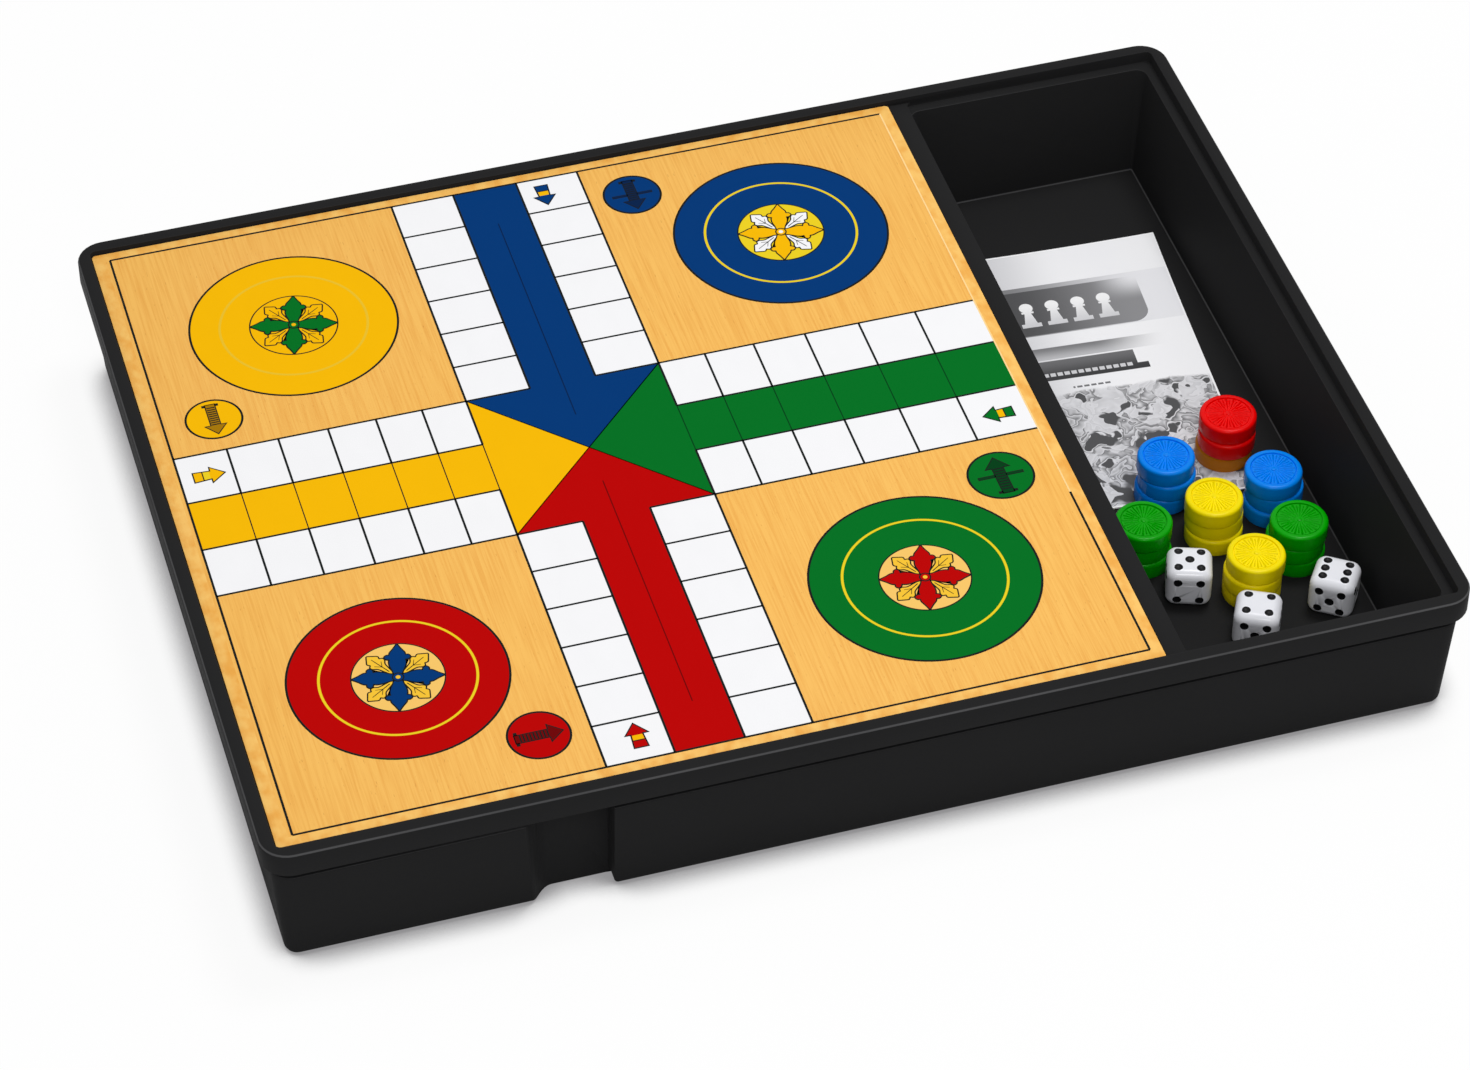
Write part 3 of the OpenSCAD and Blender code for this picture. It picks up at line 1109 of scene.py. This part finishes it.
SIDE_VEIN = [(0, 0.12), (2.6, 0.1), (2.6, -0.1), (0, -0.12)]
SIDE_VEIN_FROM = 7.2
SIDE_VEIN_TURN = math.radians(38)
PETAL_TURN = math.radians(78)
COPIES = 4
BUTTON = [
    # Radius and number of sides of the rosette's middle: its black edge, petals' and leaves' ink
    (2.1, 32),
    (1.6, 32),
    (0.8, 16)]


# %% Outlines of petals and leaves


def rounded_off(stations):
    """A smooth curve through the stations, with three steps from one to the next."""
    steps = 3
    curve = []
    for index in range(len(stations) - 1):
        before = Vector(stations[max(index - 1, 0)])
        start = Vector(stations[index])
        end = Vector(stations[index + 1])
        after = Vector(stations[min(index + 2, len(stations) - 1)])
        for step in range(steps):
            t = step / steps
            point = start * 2 + (end - before) * t
            point += (before * 2 - start * 5 + end * 4 - after) * t * t
            point += (start * 3 - before - end * 3 + after) * t ** 3
            curve.append(tuple(point / 2))
    return [*curve, stations[-1]]


def leaf_outline(stations):
    """A closed outline along +X from half widths, the same on both sides."""
    curve = rounded_off(stations)
    return curve + [(x, -y) for x, y in curve[::-1]]


def wreath(ink, outline, x, y, turn, layer):
    """Copies of an outline round a place on the board, added to an ink."""
    outline = anticlockwise(outline)
    levels = (-LAYER / 2, layer * LAYER)
    motif = lofted("motif", [[(px, py, z) for px, py in outline] for z in levels])
    around.grow(motif, Copies=COPIES, Start=turn, Material=ink_skins[ink])
    motif.data.transform(Matrix.Translation(Vector((BOARD_X + x, y, FACE_Z)) * MM))
    ink_forms[ink].from_mesh(motif.data)
    bpy.data.objects.remove(motif)


# %% Rosettes and homes


def print_rosette(x, y, petals, leaves):
    """Four petals and four leaves with black edges, and a button in the middle."""
    petal = leaf_outline(PETAL)
    leaf = leaf_outline(LEAF)
    between = PETAL_TURN + math.pi / COPIES
    wreath("black", grown(leaf, EDGE_LINE), x, y, between, 5)
    wreath(leaves, leaf, x, y, between, 6)
    wreath("black", VEIN, x, y, between, 7)
    for side in (-1, 1):
        side_vein = placed(SIDE_VEIN, SIDE_VEIN_FROM, 0, side * SIDE_VEIN_TURN)
        wreath("black", side_vein, x, y, between, 7)
    wreath("black", grown(petal, EDGE_LINE), x, y, PETAL_TURN, 8)
    wreath(petals, petal, x, y, PETAL_TURN, 9)
    for number, (radius, sides) in enumerate(BUTTON):
        disc(("black", petals, leaves)[number], x, y, radius, 10 + number, sides)


def print_home(colour, x, y, radius, ring_ink, medallion, petals, leaves):
    """One home: disc, ring, medallion and rosette."""
    disc("black", x, y, radius + LINE / 2, 1)
    disc(colour, x, y, radius - LINE / 2, 2)
    middle = radius * RING_SHARE
    ring(ring_ink, x, y, middle + RING_WIDTH / 2, middle - RING_WIDTH / 2, 3)
    disc("black", x, y, MEDALLION + EDGE_LINE, 3)
    disc(medallion, x, y, MEDALLION, 4)
    print_rosette(x, y, petals, leaves)


for home in HOMES:
    print_home(*home)
print("homes:", [home[0] for home in HOMES])

# %% Badges
BADGES = [
    # Colour, place, radius, way the arrow points in degrees, ink of the arrow, crossbar
    ("yellow", -126.2, 53.2, 9.8, -90, "deep_yellow", False),
    ("blue", 45.3, 127.7, 10.4, -90, "deep_blue", True),
    ("red", -57.5, -125.0, 10.4, 0, "deep_red", False),
    ("green", 125.7, -51.5, 11.4, 90, "deep_green", True)]
BADGE_ARROW = (1.52, 0.32, 0.7, 0.42)
BADGE_FOOT = 0.72
BADGE_RIBS = 9
RIB_LINE = 0.5


def block_arrow(length, shaft, head_width, head_length, waist=1.0):
    """An arrow along +X, centred; a waist below 1 draws the shaft in towards the head."""
    tail = -length / 2
    neck = length / 2 - head_length
    return [
        (tail, -shaft / 2), (neck, -shaft / 2 * waist), (neck, -head_width / 2), (length / 2, 0),
        (neck, head_width / 2), (neck, shaft / 2 * waist), (tail, shaft / 2)]


def print_badge(colour, x, y, radius, way, ink, crossbar):
    """A small disc with a dark arrow; some have a bar across it."""
    turn = math.radians(way)
    disc("black", x, y, radius + LINE / 2, 1)
    disc(colour, x, y, radius - LINE / 2, 2)

    def across(ink, along, half, width, layer):
        """A stroke across the arrow; its place and half length are shares of the radius."""
        ends = [(radius * along, -radius * half), (radius * along, radius * half)]
        stroke(ink, placed(ends, x, y, turn), width, layer)

    arrow = block_arrow(*[radius * share for share in BADGE_ARROW])
    fill("black", placed(grown(arrow, FINE_LINE), x, y, turn), 4)
    fill(ink, placed(arrow, x, y, turn), 5)
    across("black", -BADGE_FOOT, 0.3, 3 * FINE_LINE, 4)
    for step in range(BADGE_RIBS):
        across("black", step / BADGE_RIBS - 0.6, 0.15, RIB_LINE, 6)
    if crossbar:
        across("black", 0, 0.72, radius * 0.13, 3)
        across(ink, 0, 0.6912, radius * 0.07, 4)


# %% Arrows on the starting cells
STARTS = [
    # Colour, band, place, way the arrow points in degrees
    ("yellow", "gold", -133.8, 25.9, 0),
    ("blue", "yellow", 14.6, 136.6, -90),
    ("red", "yellow", -27.0, -134.2, 90),
    ("green", "yellow", 134.9, -21.9, 180)]
START_ARROW = (10.4, 4.4, 7.0, 4.4, 0.8)
START_BAND = [(-2.2, -1.9), (0.2, -1.75), (0.2, 1.75), (-2.2, 1.9)]


def print_start(colour, band, x, y, way):
    """The arrow on a starting cell, with a bright band over its shaft."""
    turn = math.radians(way)
    arrow = block_arrow(*START_ARROW)
    band_edge = START_BAND[0][0]
    fill("black", placed(grown(arrow, EDGE_LINE), x, y, turn), 3)
    fill(colour, placed(arrow, x, y, turn), 4)
    fill(band, placed(START_BAND, x, y, turn), 5)
    stroke("black", placed([(band_edge, -2.1), (band_edge, 2.1)], x, y, turn), FINE_LINE, 6)


for badge in BADGES:
    print_badge(*badge)
for start in STARTS:
    print_start(*start)

# %% Ink pieces


def ink_pieces():
    """Turns each ink's collected shapes into a piece on the board."""
    for name, form in ink_forms.items():
        if form.faces:
            layer = add_object("ink_" + name, form, ink_skins[name])
            piece(layer, "board", None)


ink_pieces()

# %% [markdown]
# The leaflet is one sheet of paper, folded once along its left edge, so it is made of two leaves
# joined by a tight bend. The upper leaf lifts a little at its free far corner, where no stack
# holds it down. Its print is worked out in the shader from a UV map in millimetres: bands, a box
# with a row of pawns, a label box with a dashed rule, and a marbled grey pattern below them.

# %% Leaflet sizes and outline
LEAFLET_WIDTH = 68
LEAFLET_LENGTH = 140
LEAFLET_TURN = math.radians(-4.5)
LEAF_THICK = 0.14
LEAFLET_LIFT = 1.6
LIFT_FROM = 0.62
LEAF_STEPS = 16
FOLD_STEPS = 8
LEAFLET_ROWS = 36
leaflet_low, leaflet_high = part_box("leaflet")
LEAFLET_THICK = (leaflet_high.z - leaflet_low.z) / MM


def fold_section():
    """The folded sheet seen along its fold: distance from the fold and height, for both leaves."""
    bend = LEAFLET_THICK / 2 - LEAF_THICK / 2
    steps = range(LEAF_STEPS)
    lower = [(LEAFLET_WIDTH * (1 - step / LEAF_STEPS), LEAF_THICK / 2) for step in steps]
    turn = [math.radians(-90 - 180 * step / FOLD_STEPS) for step in range(FOLD_STEPS + 1)]
    curve = [(bend + bend * math.cos(a), LEAFLET_THICK / 2 + bend * math.sin(a)) for a in turn]
    top = LEAFLET_THICK - LEAF_THICK / 2
    upper = [(LEAFLET_WIDTH * (step + 1) / LEAF_STEPS, top) for step in steps]
    return [*lower, *curve, *upper]


# %% Leaflet sheet


def leaflet_sheet():
    """The folded sheet as one open surface with a UV map in millimetres."""
    section = fold_section()
    points = []
    for row in range(LEAFLET_ROWS + 1):
        along = LEAFLET_LENGTH * row / LEAFLET_ROWS
        past = max(0, along / LEAFLET_LENGTH - LIFT_FROM) / (1 - LIFT_FROM)
        for index, (across, height) in enumerate(section):
            free = past * across / LEAFLET_WIDTH
            lift = LEAFLET_LIFT * free ** 2 if index > len(section) / 2 else 0
            points.append((across - LEAFLET_WIDTH / 2, along - LEAFLET_LENGTH / 2, height + lift))
    span = len(section)
    faces = []
    for row in range(LEAFLET_ROWS):
        for index in range(span - 1):
            here = row * span + index
            faces.append((here, here + span, here + span + 1, here + 1))
    mesh = bpy.data.meshes.new("leaflet_paper")
    middle = (leaflet_low + leaflet_high) / 2
    lift = Matrix.Translation((middle.x, middle.y, leaflet_low.z))
    mesh.from_pydata([Vector(point) * MM for point in points], [], faces)
    spots = mesh.uv_layers.new(name="print")
    for loop in mesh.loops:
        x, y, _ = points[loop.vertex_index]
        spots.uv[loop.index].vector = (x + LEAFLET_WIDTH / 2, y + LEAFLET_LENGTH / 2)
    mesh.transform(lift @ Matrix.Rotation(LEAFLET_TURN, 4, "Z"))
    return new_object("leaflet_paper", mesh)


# %% Leaflet print: title box and pawns
# Places on the print, in millimetres from the fold (u) and from the near edge (v)
BAND = (94, 121.3)
BOX = (94.5, 119)
BOX_END = 55
BOX_ROUND = 6.5
PAWNS = (6, 45.2)
PAWN_PITCH = 9.8
PAWN_MIDDLE = 105.6
HEAD_HEIGHT = 4.2
HEAD_EDGE = (2.4, 2.7)


def window(value, low, high, soft=0.15):
    """1 where a value lies between low and high."""
    return value.ramp(low - soft, low + soft) * (1 - value.ramp(high - soft, high + soft))


def grey(level):
    """A printed grey from 0 to 255, with the faint violet of office paper."""
    return tone(level, level, min(255, level * 1.012 + 1))


def print_title(finish, spot, u, v, colour):
    """A band, darker to the left, with a box in it that has one round corner."""
    band = window(v, *BAND)
    colour = finish.mix(band, colour, finish.mix(u.ramp(4, 60), grey(134), grey(240)))
    round_u = BOX_END - BOX_ROUND
    round_v = BOX[0] + BOX_ROUND
    corner = finish.node("ShaderNodeVectorMath", {"operation": "DISTANCE"}, {
        0: spot, 1: (round_u, round_v, 0)}, output="Value")
    past_corner = (u > round_u) * (v < round_v) * (corner > BOX_ROUND)
    box = window(v, *BOX) * (u < BOX_END) * (1 - past_corner)
    fade = 1 - v.ramp(106, 119) * u.ramp(36, 54)
    return finish.mix(box * fade, colour, finish.mix(u.ramp(6, 54), grey(84), grey(146)))


def print_pawns(finish, u, v, colour):
    """Four pale pawns, each with a round head, a collar, a spreading body and a foot."""
    aside = (((u - PAWNS[0]) / PAWN_PITCH).fraction() * PAWN_PITCH - PAWN_PITCH / 2).size()
    rise = v - PAWN_MIDDLE
    over_head = rise - HEAD_HEIGHT
    head = 1 - (aside * aside + over_head * over_head).root().ramp(*HEAD_EDGE)
    body = window(rise, -4.6, 2.6) * (aside < 1.5 - 0.2 * rise)
    collar = window(rise, 1.2, 2.2) * (aside < 2.3)
    foot = window(rise, -6.5, -4.4) * (aside < 3.7)
    pawn = head.most(body).most(collar).most(foot) * window(u, *PAWNS)
    return finish.mix(pawn, colour, finish.mix(v.ramp(98, 112), grey(214), grey(254)))


# %% Leaflet print: strip and label
STRIP = (80.5, 87)
LABEL = (69.3, 79.8)
LABEL_END = 43.5
LABEL_STEP = (69.3, 72.5)
LABEL_STEP_END = 47.5
DASHES = 0.38
DASH_SHARE = 0.75
RULE = (71.4, 73.2)
RULE_END = 41.5
SMALL_RULE = (63.8, 64.8)
SMALL_RULE_FROM = 17
SMALL_RULE_TO = 31


def print_label(finish, u, v, colour):
    """A strip that fades out, and a label box with a step at its right end and a dashed rule."""
    strip = window(v, *STRIP) * (1 - u.ramp(30, 58))
    colour = finish.mix(strip, colour, finish.mix(v.ramp(80, 87), grey(196), grey(128)))
    step = window(v, *LABEL_STEP) * (u < LABEL_STEP_END)
    label = (window(v, *LABEL) * (u < LABEL_END)).most(step)
    colour = finish.mix(label, colour, finish.mix(v.ramp(70, 80), grey(60), grey(112)))
    dash = ((u * DASHES).fraction() < DASH_SHARE) * (u < RULE_END)
    colour = finish.mix(window(v, *RULE) * dash, colour, grey(214))
    small = window(v, *SMALL_RULE, 0.1) * dash * (u > SMALL_RULE_FROM) * (u < SMALL_RULE_TO)
    return finish.mix(small, colour, grey(120))


# %% Leaflet print: marbling and paper
CELL_RATE = 0.13
PICTURE_TOP = (63, 65)
PLAIN_EDGE = 0.7


def print_marbling(finish, spot, v, colour):
    """A marbled grey pattern in drifting patches, with dark pools between them."""
    drift = finish.node(
        "ShaderNodeTexNoise", inputs={"Vector": spot, "Scale": 0.1, "Detail": 2.0}, output=1)
    push = finish.node("ShaderNodeVectorMath", {"operation": "SCALE"}, {0: drift, "Scale": 15.0})
    bent = finish.node("ShaderNodeVectorMath", {"operation": "ADD"}, {0: spot, 1: push})
    cells = {"Vector": bent, "Scale": CELL_RATE}
    pools = finish.node("ShaderNodeTexVoronoi", {"feature": "SMOOTH_F1"}, cells)
    tints = finish.node("ShaderNodeTexVoronoi", {"feature": "F1"}, cells, output="Color")
    tint = finish.part(tints, "X")
    ripple = (finish.cloud(bent, 0.1, 2.0) * 9).fraction()
    picture = finish.mix(ripple, grey(120), grey(226))
    picture = finish.mix((tint > 0.66) * 0.75, picture, grey(228))
    picture = finish.mix((1 - pools.ramp(0.34, 0.46)) * (tint < 0.5), picture, grey(84))
    picture = finish.mix(window(pools, 0.3, 0.36, 0.02) * (tint < 0.3) * 0.8, picture, grey(250))
    zone = 1 - (v + 5 * finish.cloud(spot, 0.14)).ramp(*PICTURE_TOP)
    return finish.mix(zone, colour, picture)


def leaflet_print():
    """The whole print, on slightly fibrous paper with an unprinted edge."""
    finish = Finish("leaflet_print", Specular_IOR_Level=0.12)
    spot = finish.node("ShaderNodeUVMap", {"uv_map": "print"})
    u = finish.part(spot, "X")
    v = finish.part(spot, "Y")
    shade = finish.cloud(finish.stretched(30 * MM, 30 * MM, 1), detail=1.0)
    # Darker towards the fold: painted shade along the side that lies beside the divider
    colour = finish.mix(u.ramp(0, 30), grey(222), finish.mix(shade, grey(247), grey(254)))
    colour = print_title(finish, spot, u, v, colour)
    colour = print_pawns(finish, u, v, colour)
    colour = print_label(finish, u, v, colour)
    colour = print_marbling(finish, spot, v, colour)
    side = (u - LEAFLET_WIDTH / 2).size() > LEAFLET_WIDTH / 2 - PLAIN_EDGE
    end = (v - LEAFLET_LENGTH / 2).size() > LEAFLET_LENGTH / 2 - PLAIN_EDGE
    fibre = finish.cloud(finish.stretched(0.6 * MM, 0.6 * MM, 1), detail=3.0)
    return finish.vary(
        Base_Color=finish.mix(side.most(end), colour, grey(253)),
        Roughness=0.52 + 0.12 * fibre,
        Normal=finish.bump(fibre, 0.01 * MM))


# %% Make the leaflet


def make_leaflet():
    """The folded sheet with its thickness."""
    paper = leaflet_sheet()
    paper.data.materials.append(leaflet_print())
    thick = paper.modifiers.new("thickness", "SOLIDIFY")
    thick.thickness = LEAF_THICK * MM
    thick.offset = 0
    settle(paper)
    return smooth(paper, 50)


piece(make_leaflet(), "leaflet", "paper", "leaflet")

# %% [markdown]
# A counter is a turned shape: a profile carried round its axis. Its top has a raised rim, a
# groove and a sunk middle with a nub, and from the nub fine ribs run out like the segments of a
# lemon. A long and a short rib are modelled and the recipe repeats each. The underside has the
# hollow that lets counters stack. Each counter is its own piece because each can be picked up.

# %% Counter shape
COUNTER_ROUND = 1.2
NUB = 0.95
SUNK = 0.36
STACK_GAP = 0.02
LAND_WIDTH = 2.05
HOLLOW = 0.55
COUNTER_SIDES = 56
COUNTER_ROUND_STEPS = 6
first_low, first_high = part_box("yellow_middle_counter_1")
COUNTER_R = (first_high.x - first_low.x) / 2 / MM
COUNTER_H = (first_high.z - first_low.z) / MM


def counter_profile():
    """Radius and height from the middle of the underside round to the nub."""
    land = COUNTER_R - LAND_WIDTH
    floor = COUNTER_H - SUNK
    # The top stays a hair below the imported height, so that stacked counters never cut each other
    top = COUNTER_H - STACK_GAP
    under = [
        (0.4, HOLLOW), (land, HOLLOW), (land + 0.35, 0.1), (land + 0.5, 0), (COUNTER_R - 0.45, 0),
        (COUNTER_R - 0.12, 0.12), (COUNTER_R, 0.45)]
    lean = COUNTER_R - 0.03
    wall = [(COUNTER_R, COUNTER_H / 2), (lean, top - COUNTER_ROUND - 0.6)]
    edge = [(lean - COUNTER_ROUND * (1 - c), top - COUNTER_ROUND * (1 - s))
            for s, c in quarter(COUNTER_ROUND_STEPS)]
    groove = [(land + 0.1, top), (land - 0.05, top - 0.1), (land - 0.2, floor - 0.3),
              (land - 0.4, floor - 0.3), (land - 0.55, floor), (land - 0.68, floor)]
    nub = [(NUB + 0.15, floor), (NUB, floor), (NUB * 0.92, floor + 0.22), (NUB * 0.6, floor + 0.32),
           (NUB * 0.2, floor + 0.34)]
    return [*under, *wall, *edge, *groove, *nub]


# %% Ribs and body of a counter
RIBS = 17
RIB_REACH = 7.4
RIB_HEIGHT = 0.32
RIB_SINK = 0.02
RIB_SHAPES = [
    # Start, end and width of a rib, and the turn of its first copy
    (NUB * 1.7, RIB_REACH, 0.9, 0.0),
    (RIB_REACH * 0.5, RIB_REACH * 0.93, 0.6, math.pi / RIBS)]


def add_rib(start, end, width):
    """One rib along +X: a low wedge that widens outwards, with a ridge along its top."""
    foot = COUNTER_H - SUNK - RIB_SINK
    plans = []
    for x in (start, end):
        half = width / 2 * x / end
        plans.append([(x, -half, foot), (x, half, foot), (x, 0, foot + RIB_HEIGHT)])
    form = bmesh.new()
    add_loft(form, plans)
    bmesh.ops.recalc_face_normals(form, faces=form.faces[:])
    return add_object("rib", form)


def counter_body():
    """The turned body with long and short ribs, as one mesh without a material."""
    form = bmesh.new()
    add_loft(form, [
        circle_plan(0, 0, radius, z, COUNTER_SIDES) for radius, z in counter_profile()])
    for start, end, width, turn in RIB_SHAPES:
        ribs = around.grow(add_rib(start, end, width), Copies=RIBS, Start=turn)
        form.from_mesh(ribs.data)
        bpy.data.objects.remove(ribs)
    return add_object("counter_body", form)


# %% Counter plastic


def counter_plastic(name, colour):
    """Moulded plastic with a soft gloss, a faint flow pattern and fine handling marks."""
    finish = Finish(name, IOR=1.48, Specular_IOR_Level=0.12)
    flow = finish.cloud(finish.stretched(7 * MM, 7 * MM, 3 * MM), detail=4.0)
    skin = finish.cloud(finish.stretched(1.4 * MM, 1.4 * MM, 1.4 * MM), detail=2.0)
    marks = finish.cloud(finish.stretched(3 * MM, 0.25 * MM, 0.6 * MM), detail=2.0).ramp(0.66, 0.8)
    return finish.vary(
        Base_Color=finish.mix(flow, darker(colour, 0.9), colour),
        Roughness=0.22 + 0.07 * skin + 0.1 * marks,
        Normal=finish.bump(skin, 0.012 * MM))


COUNTER_COLOURS = {
    "red_counter": counter_plastic("red_counter_plastic", tone(238, 2, 2)),
    # Amber: a yellow counter's colour with painted shade and painted reflected red in it
    "amber_counter": counter_plastic("amber_counter_plastic", tone(200, 116, 8)),
    "blue_counter": counter_plastic("blue_counter_plastic", tone(0, 134, 246)),
    "yellow_counter": counter_plastic("yellow_counter_plastic", tone(255, 232, 0)),
    "green_counter": counter_plastic("green_counter_plastic", tone(2, 164, 0))}

# %% Set out the counters
TURN_STEP = 137


def counter_slot(node):
    """The finish of a counter: its stack's colour, with amber for the one under the two red ones, a
    yellow darkened and reddened as painted shade and painted reflection.
    """
    if node == "red_counter_1":
        return "amber_counter"
    return node.split("_")[0] + "_counter"


def set_out_counters():
    """A copy of the counter for each packed one, turned by its own angle."""
    pattern = counter_body()
    nodes = sorted(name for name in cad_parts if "_counter_" in name)
    for number, node in enumerate(nodes):
        low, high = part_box(node)
        place = Matrix.Translation(((low.x + high.x) / 2, (low.y + high.y) / 2, low.z))
        mesh = pattern.data.copy()
        mesh.transform(place @ Matrix.Rotation(math.radians(TURN_STEP * number), 4, "Z"))
        slot = counter_slot(node)
        mesh.materials.clear()
        mesh.materials.append(COUNTER_COLOURS[slot])
        piece(smooth(new_object(node + "_moulding", mesh), 32), node, slot, node)
    bpy.data.objects.remove(pattern)


set_out_counters()

# %% [markdown]
# A die is a cube with well rounded edges and corners. The round is exact here: every point of a
# finely cut cube beyond the inner block is put back to the same distance from it. The pips are
# shallow balls taken away by a recipe, and the cut surface keeps the black of the ball. Opposite
# faces add up to seven.

# %% Die sizes and body
DIE_SIDE = 16
DIE_ROUND = 3.7
DIE_STEPS = 6
PIP_DIAMETER = 3.3
PIP_DEPTH = 0.6
PIP_STEP = 4.0
PIPS = [
    [(0, 0)],
    [(-1, -1), (1, 1)],
    [(-1, -1), (0, 0), (1, 1)],
    [(-1, -1), (1, -1), (-1, 1), (1, 1)],
    [(-1, -1), (1, -1), (0, 0), (-1, 1), (1, 1)],
    [(-1, -1), (-1, 0), (-1, 1), (1, -1), (1, 0), (1, 1)]]
DICE = [
    # Node, turn in degrees, numbers on top, front and right
    ("left_die", -20, (5, 4, 1)),
    ("middle_die", -27, (4, 5, 6)),
    ("right_die", -35, (6, 5, 3))]


def die_stations():
    """Places of the cuts across one face, closer together over the rounds."""
    inner = DIE_SIDE / 2 - DIE_ROUND
    half = [inner + DIE_ROUND * math.tan(math.radians(45) * step / DIE_STEPS)
            for step in range(DIE_STEPS + 1)]
    return [-place for place in half[::-1]] + half


def rounded_point(point):
    """A point of the plain cube, moved onto the rounded one."""
    inner = DIE_SIDE / 2 - DIE_ROUND
    core = Vector([max(-inner, min(inner, c)) for c in point])
    return core + (Vector(point) - core).normalized() * DIE_ROUND


# %% Body of a die


def die_body():
    """The rounded cube, centred at the origin."""
    form = bmesh.new()
    stations = die_stations()
    half = DIE_SIDE / 2
    for axis in range(3):
        for side in (-1, 1):
            rows = []
            for a in stations:
                row = []
                for b in stations:
                    point = [a, b]
                    point.insert(axis, side * half)
                    row.append(form.verts.new(rounded_point(point) * MM))
                rows.append(row)
            for low, high in zip(rows, rows[1:]):
                for here in range(len(low) - 1):
                    form.faces.new((low[here], low[here + 1], high[here + 1], high[here]))
    bmesh.ops.remove_doubles(form, verts=form.verts[:], dist=0.001 * MM)
    bmesh.ops.recalc_face_normals(form, faces=form.faces[:])
    return add_object("die_body", form)


# %% Pips
BALL_SEGMENTS = 32
BALL_RINGS = 24


def pips_recipe():
    """Sinks balls into a body at the points of another object."""
    recipe = Recipe("pips", ("Places", "Object"), ("Ball radius", "Float"), ("Paint", "Material"))
    places = recipe.node("GeometryNodeObjectInfo", inputs={
        "Object": recipe.input("Places")}, output="Geometry")
    ball = recipe.node("GeometryNodeMeshUVSphere", inputs={
        "Segments": BALL_SEGMENTS, "Rings": BALL_RINGS, "Radius": recipe.input("Ball radius")})
    painted = recipe.node("GeometryNodeSetMaterial", inputs={
        "Geometry": ball, "Material": recipe.input("Paint")})
    balls = recipe.node(
        "GeometryNodeInstanceOnPoints", inputs={"Points": places, "Instance": painted})
    real = recipe.node("GeometryNodeRealizeInstances", inputs={"Geometry": balls})
    body = recipe.node("GeometryNodeSetMaterial", inputs={
        "Geometry": recipe.input("Geometry"), "Material": recipe.input("Material")})
    cut = recipe.node("GeometryNodeMeshBoolean", {"operation": "DIFFERENCE", "solver": "EXACT"}, {
        "Mesh 1": body, "Mesh 2": real})
    out = recipe.tree.nodes.new("NodeGroupOutput")
    recipe.put(out.inputs[0], recipe.node("GeometryNodeRealizeInstances", inputs={"Geometry": cut}))
    return recipe


def pip_ball():
    """Radius of the ball whose cap has the pip's diameter and depth."""
    return ((PIP_DIAMETER / 2) ** 2 + PIP_DEPTH ** 2) / (2 * PIP_DEPTH)


# %% Places of the pips


def face_turns(numbers):
    """Each number on the die with the turn that brings the top to its face."""
    top, front, right = numbers
    quarter_turn = math.radians(90)
    return [
        (top, Matrix.Identity(3)),
        (7 - top, Matrix.Rotation(2 * quarter_turn, 3, "X")),
        (front, Matrix.Rotation(quarter_turn, 3, "X")),
        (7 - front, Matrix.Rotation(-quarter_turn, 3, "X")),
        (right, Matrix.Rotation(quarter_turn, 3, "Y")),
        (7 - right, Matrix.Rotation(-quarter_turn, 3, "Y"))]


def pip_places(numbers):
    """An object with one point for the middle of each pip's ball."""
    height = DIE_SIDE / 2 - PIP_DEPTH + pip_ball()
    points = []
    for number, turn in face_turns(numbers):
        for x, y in PIPS[number - 1]:
            points.append(turn @ Vector((x * PIP_STEP, y * PIP_STEP, height)) * MM)
    mesh = bpy.data.meshes.new("pip_places")
    mesh.from_pydata(points, [], [])
    return new_object("pip_places", mesh)


# %% Finishes of the dice


def die_plastic():
    """Polished white plastic with a cool shade."""
    finish = Finish("die_plastic", IOR=1.5, Specular_IOR_Level=0.3)
    cloud = finish.cloud(finish.stretched(9 * MM, 9 * MM, 9 * MM))
    skin = finish.cloud(finish.stretched(2.2 * MM, 2.2 * MM, 2.2 * MM), detail=1.0)
    return finish.vary(
        Base_Color=finish.mix(cloud, tone(234, 235, 242), tone(242, 243, 248)),
        Roughness=0.16 + 0.08 * skin,
        Normal=finish.bump(skin, 0.008 * MM))


def pip_paint():
    """Black enamel, pooled a little in each pip."""
    finish = Finish("pip_paint", IOR=1.5, Specular_IOR_Level=0.12)
    pool = finish.cloud(finish.stretched(0.9 * MM, 0.9 * MM, 0.9 * MM))
    return finish.vary(
        Base_Color=finish.mix(pool, tone(10, 10, 12), tone(24, 24, 26)),
        Roughness=0.3 + 0.15 * pool,
        Normal=finish.bump(pool, 0.01 * MM))


def make_die(node, degrees, numbers, white, black):
    """One die in its place, with its pips sunk and painted."""
    die = die_body()
    places = pip_places(numbers)
    pips.grow(die, Places=places, Ball_radius=pip_ball() * MM, Paint=black, Material=white)
    bpy.data.objects.remove(places)
    low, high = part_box(node)
    die.data.transform(
        Matrix.Translation((low + high) / 2) @ Matrix.Rotation(math.radians(degrees), 4, "Z"))
    die.name = node + "_body"
    piece(smooth(die, 40), node, "white_die", node)


pips = pips_recipe()
white_plastic = die_plastic()
black_enamel = pip_paint()
for node, degrees, numbers in DICE:
    make_die(node, degrees, numbers, white_plastic, black_enamel)
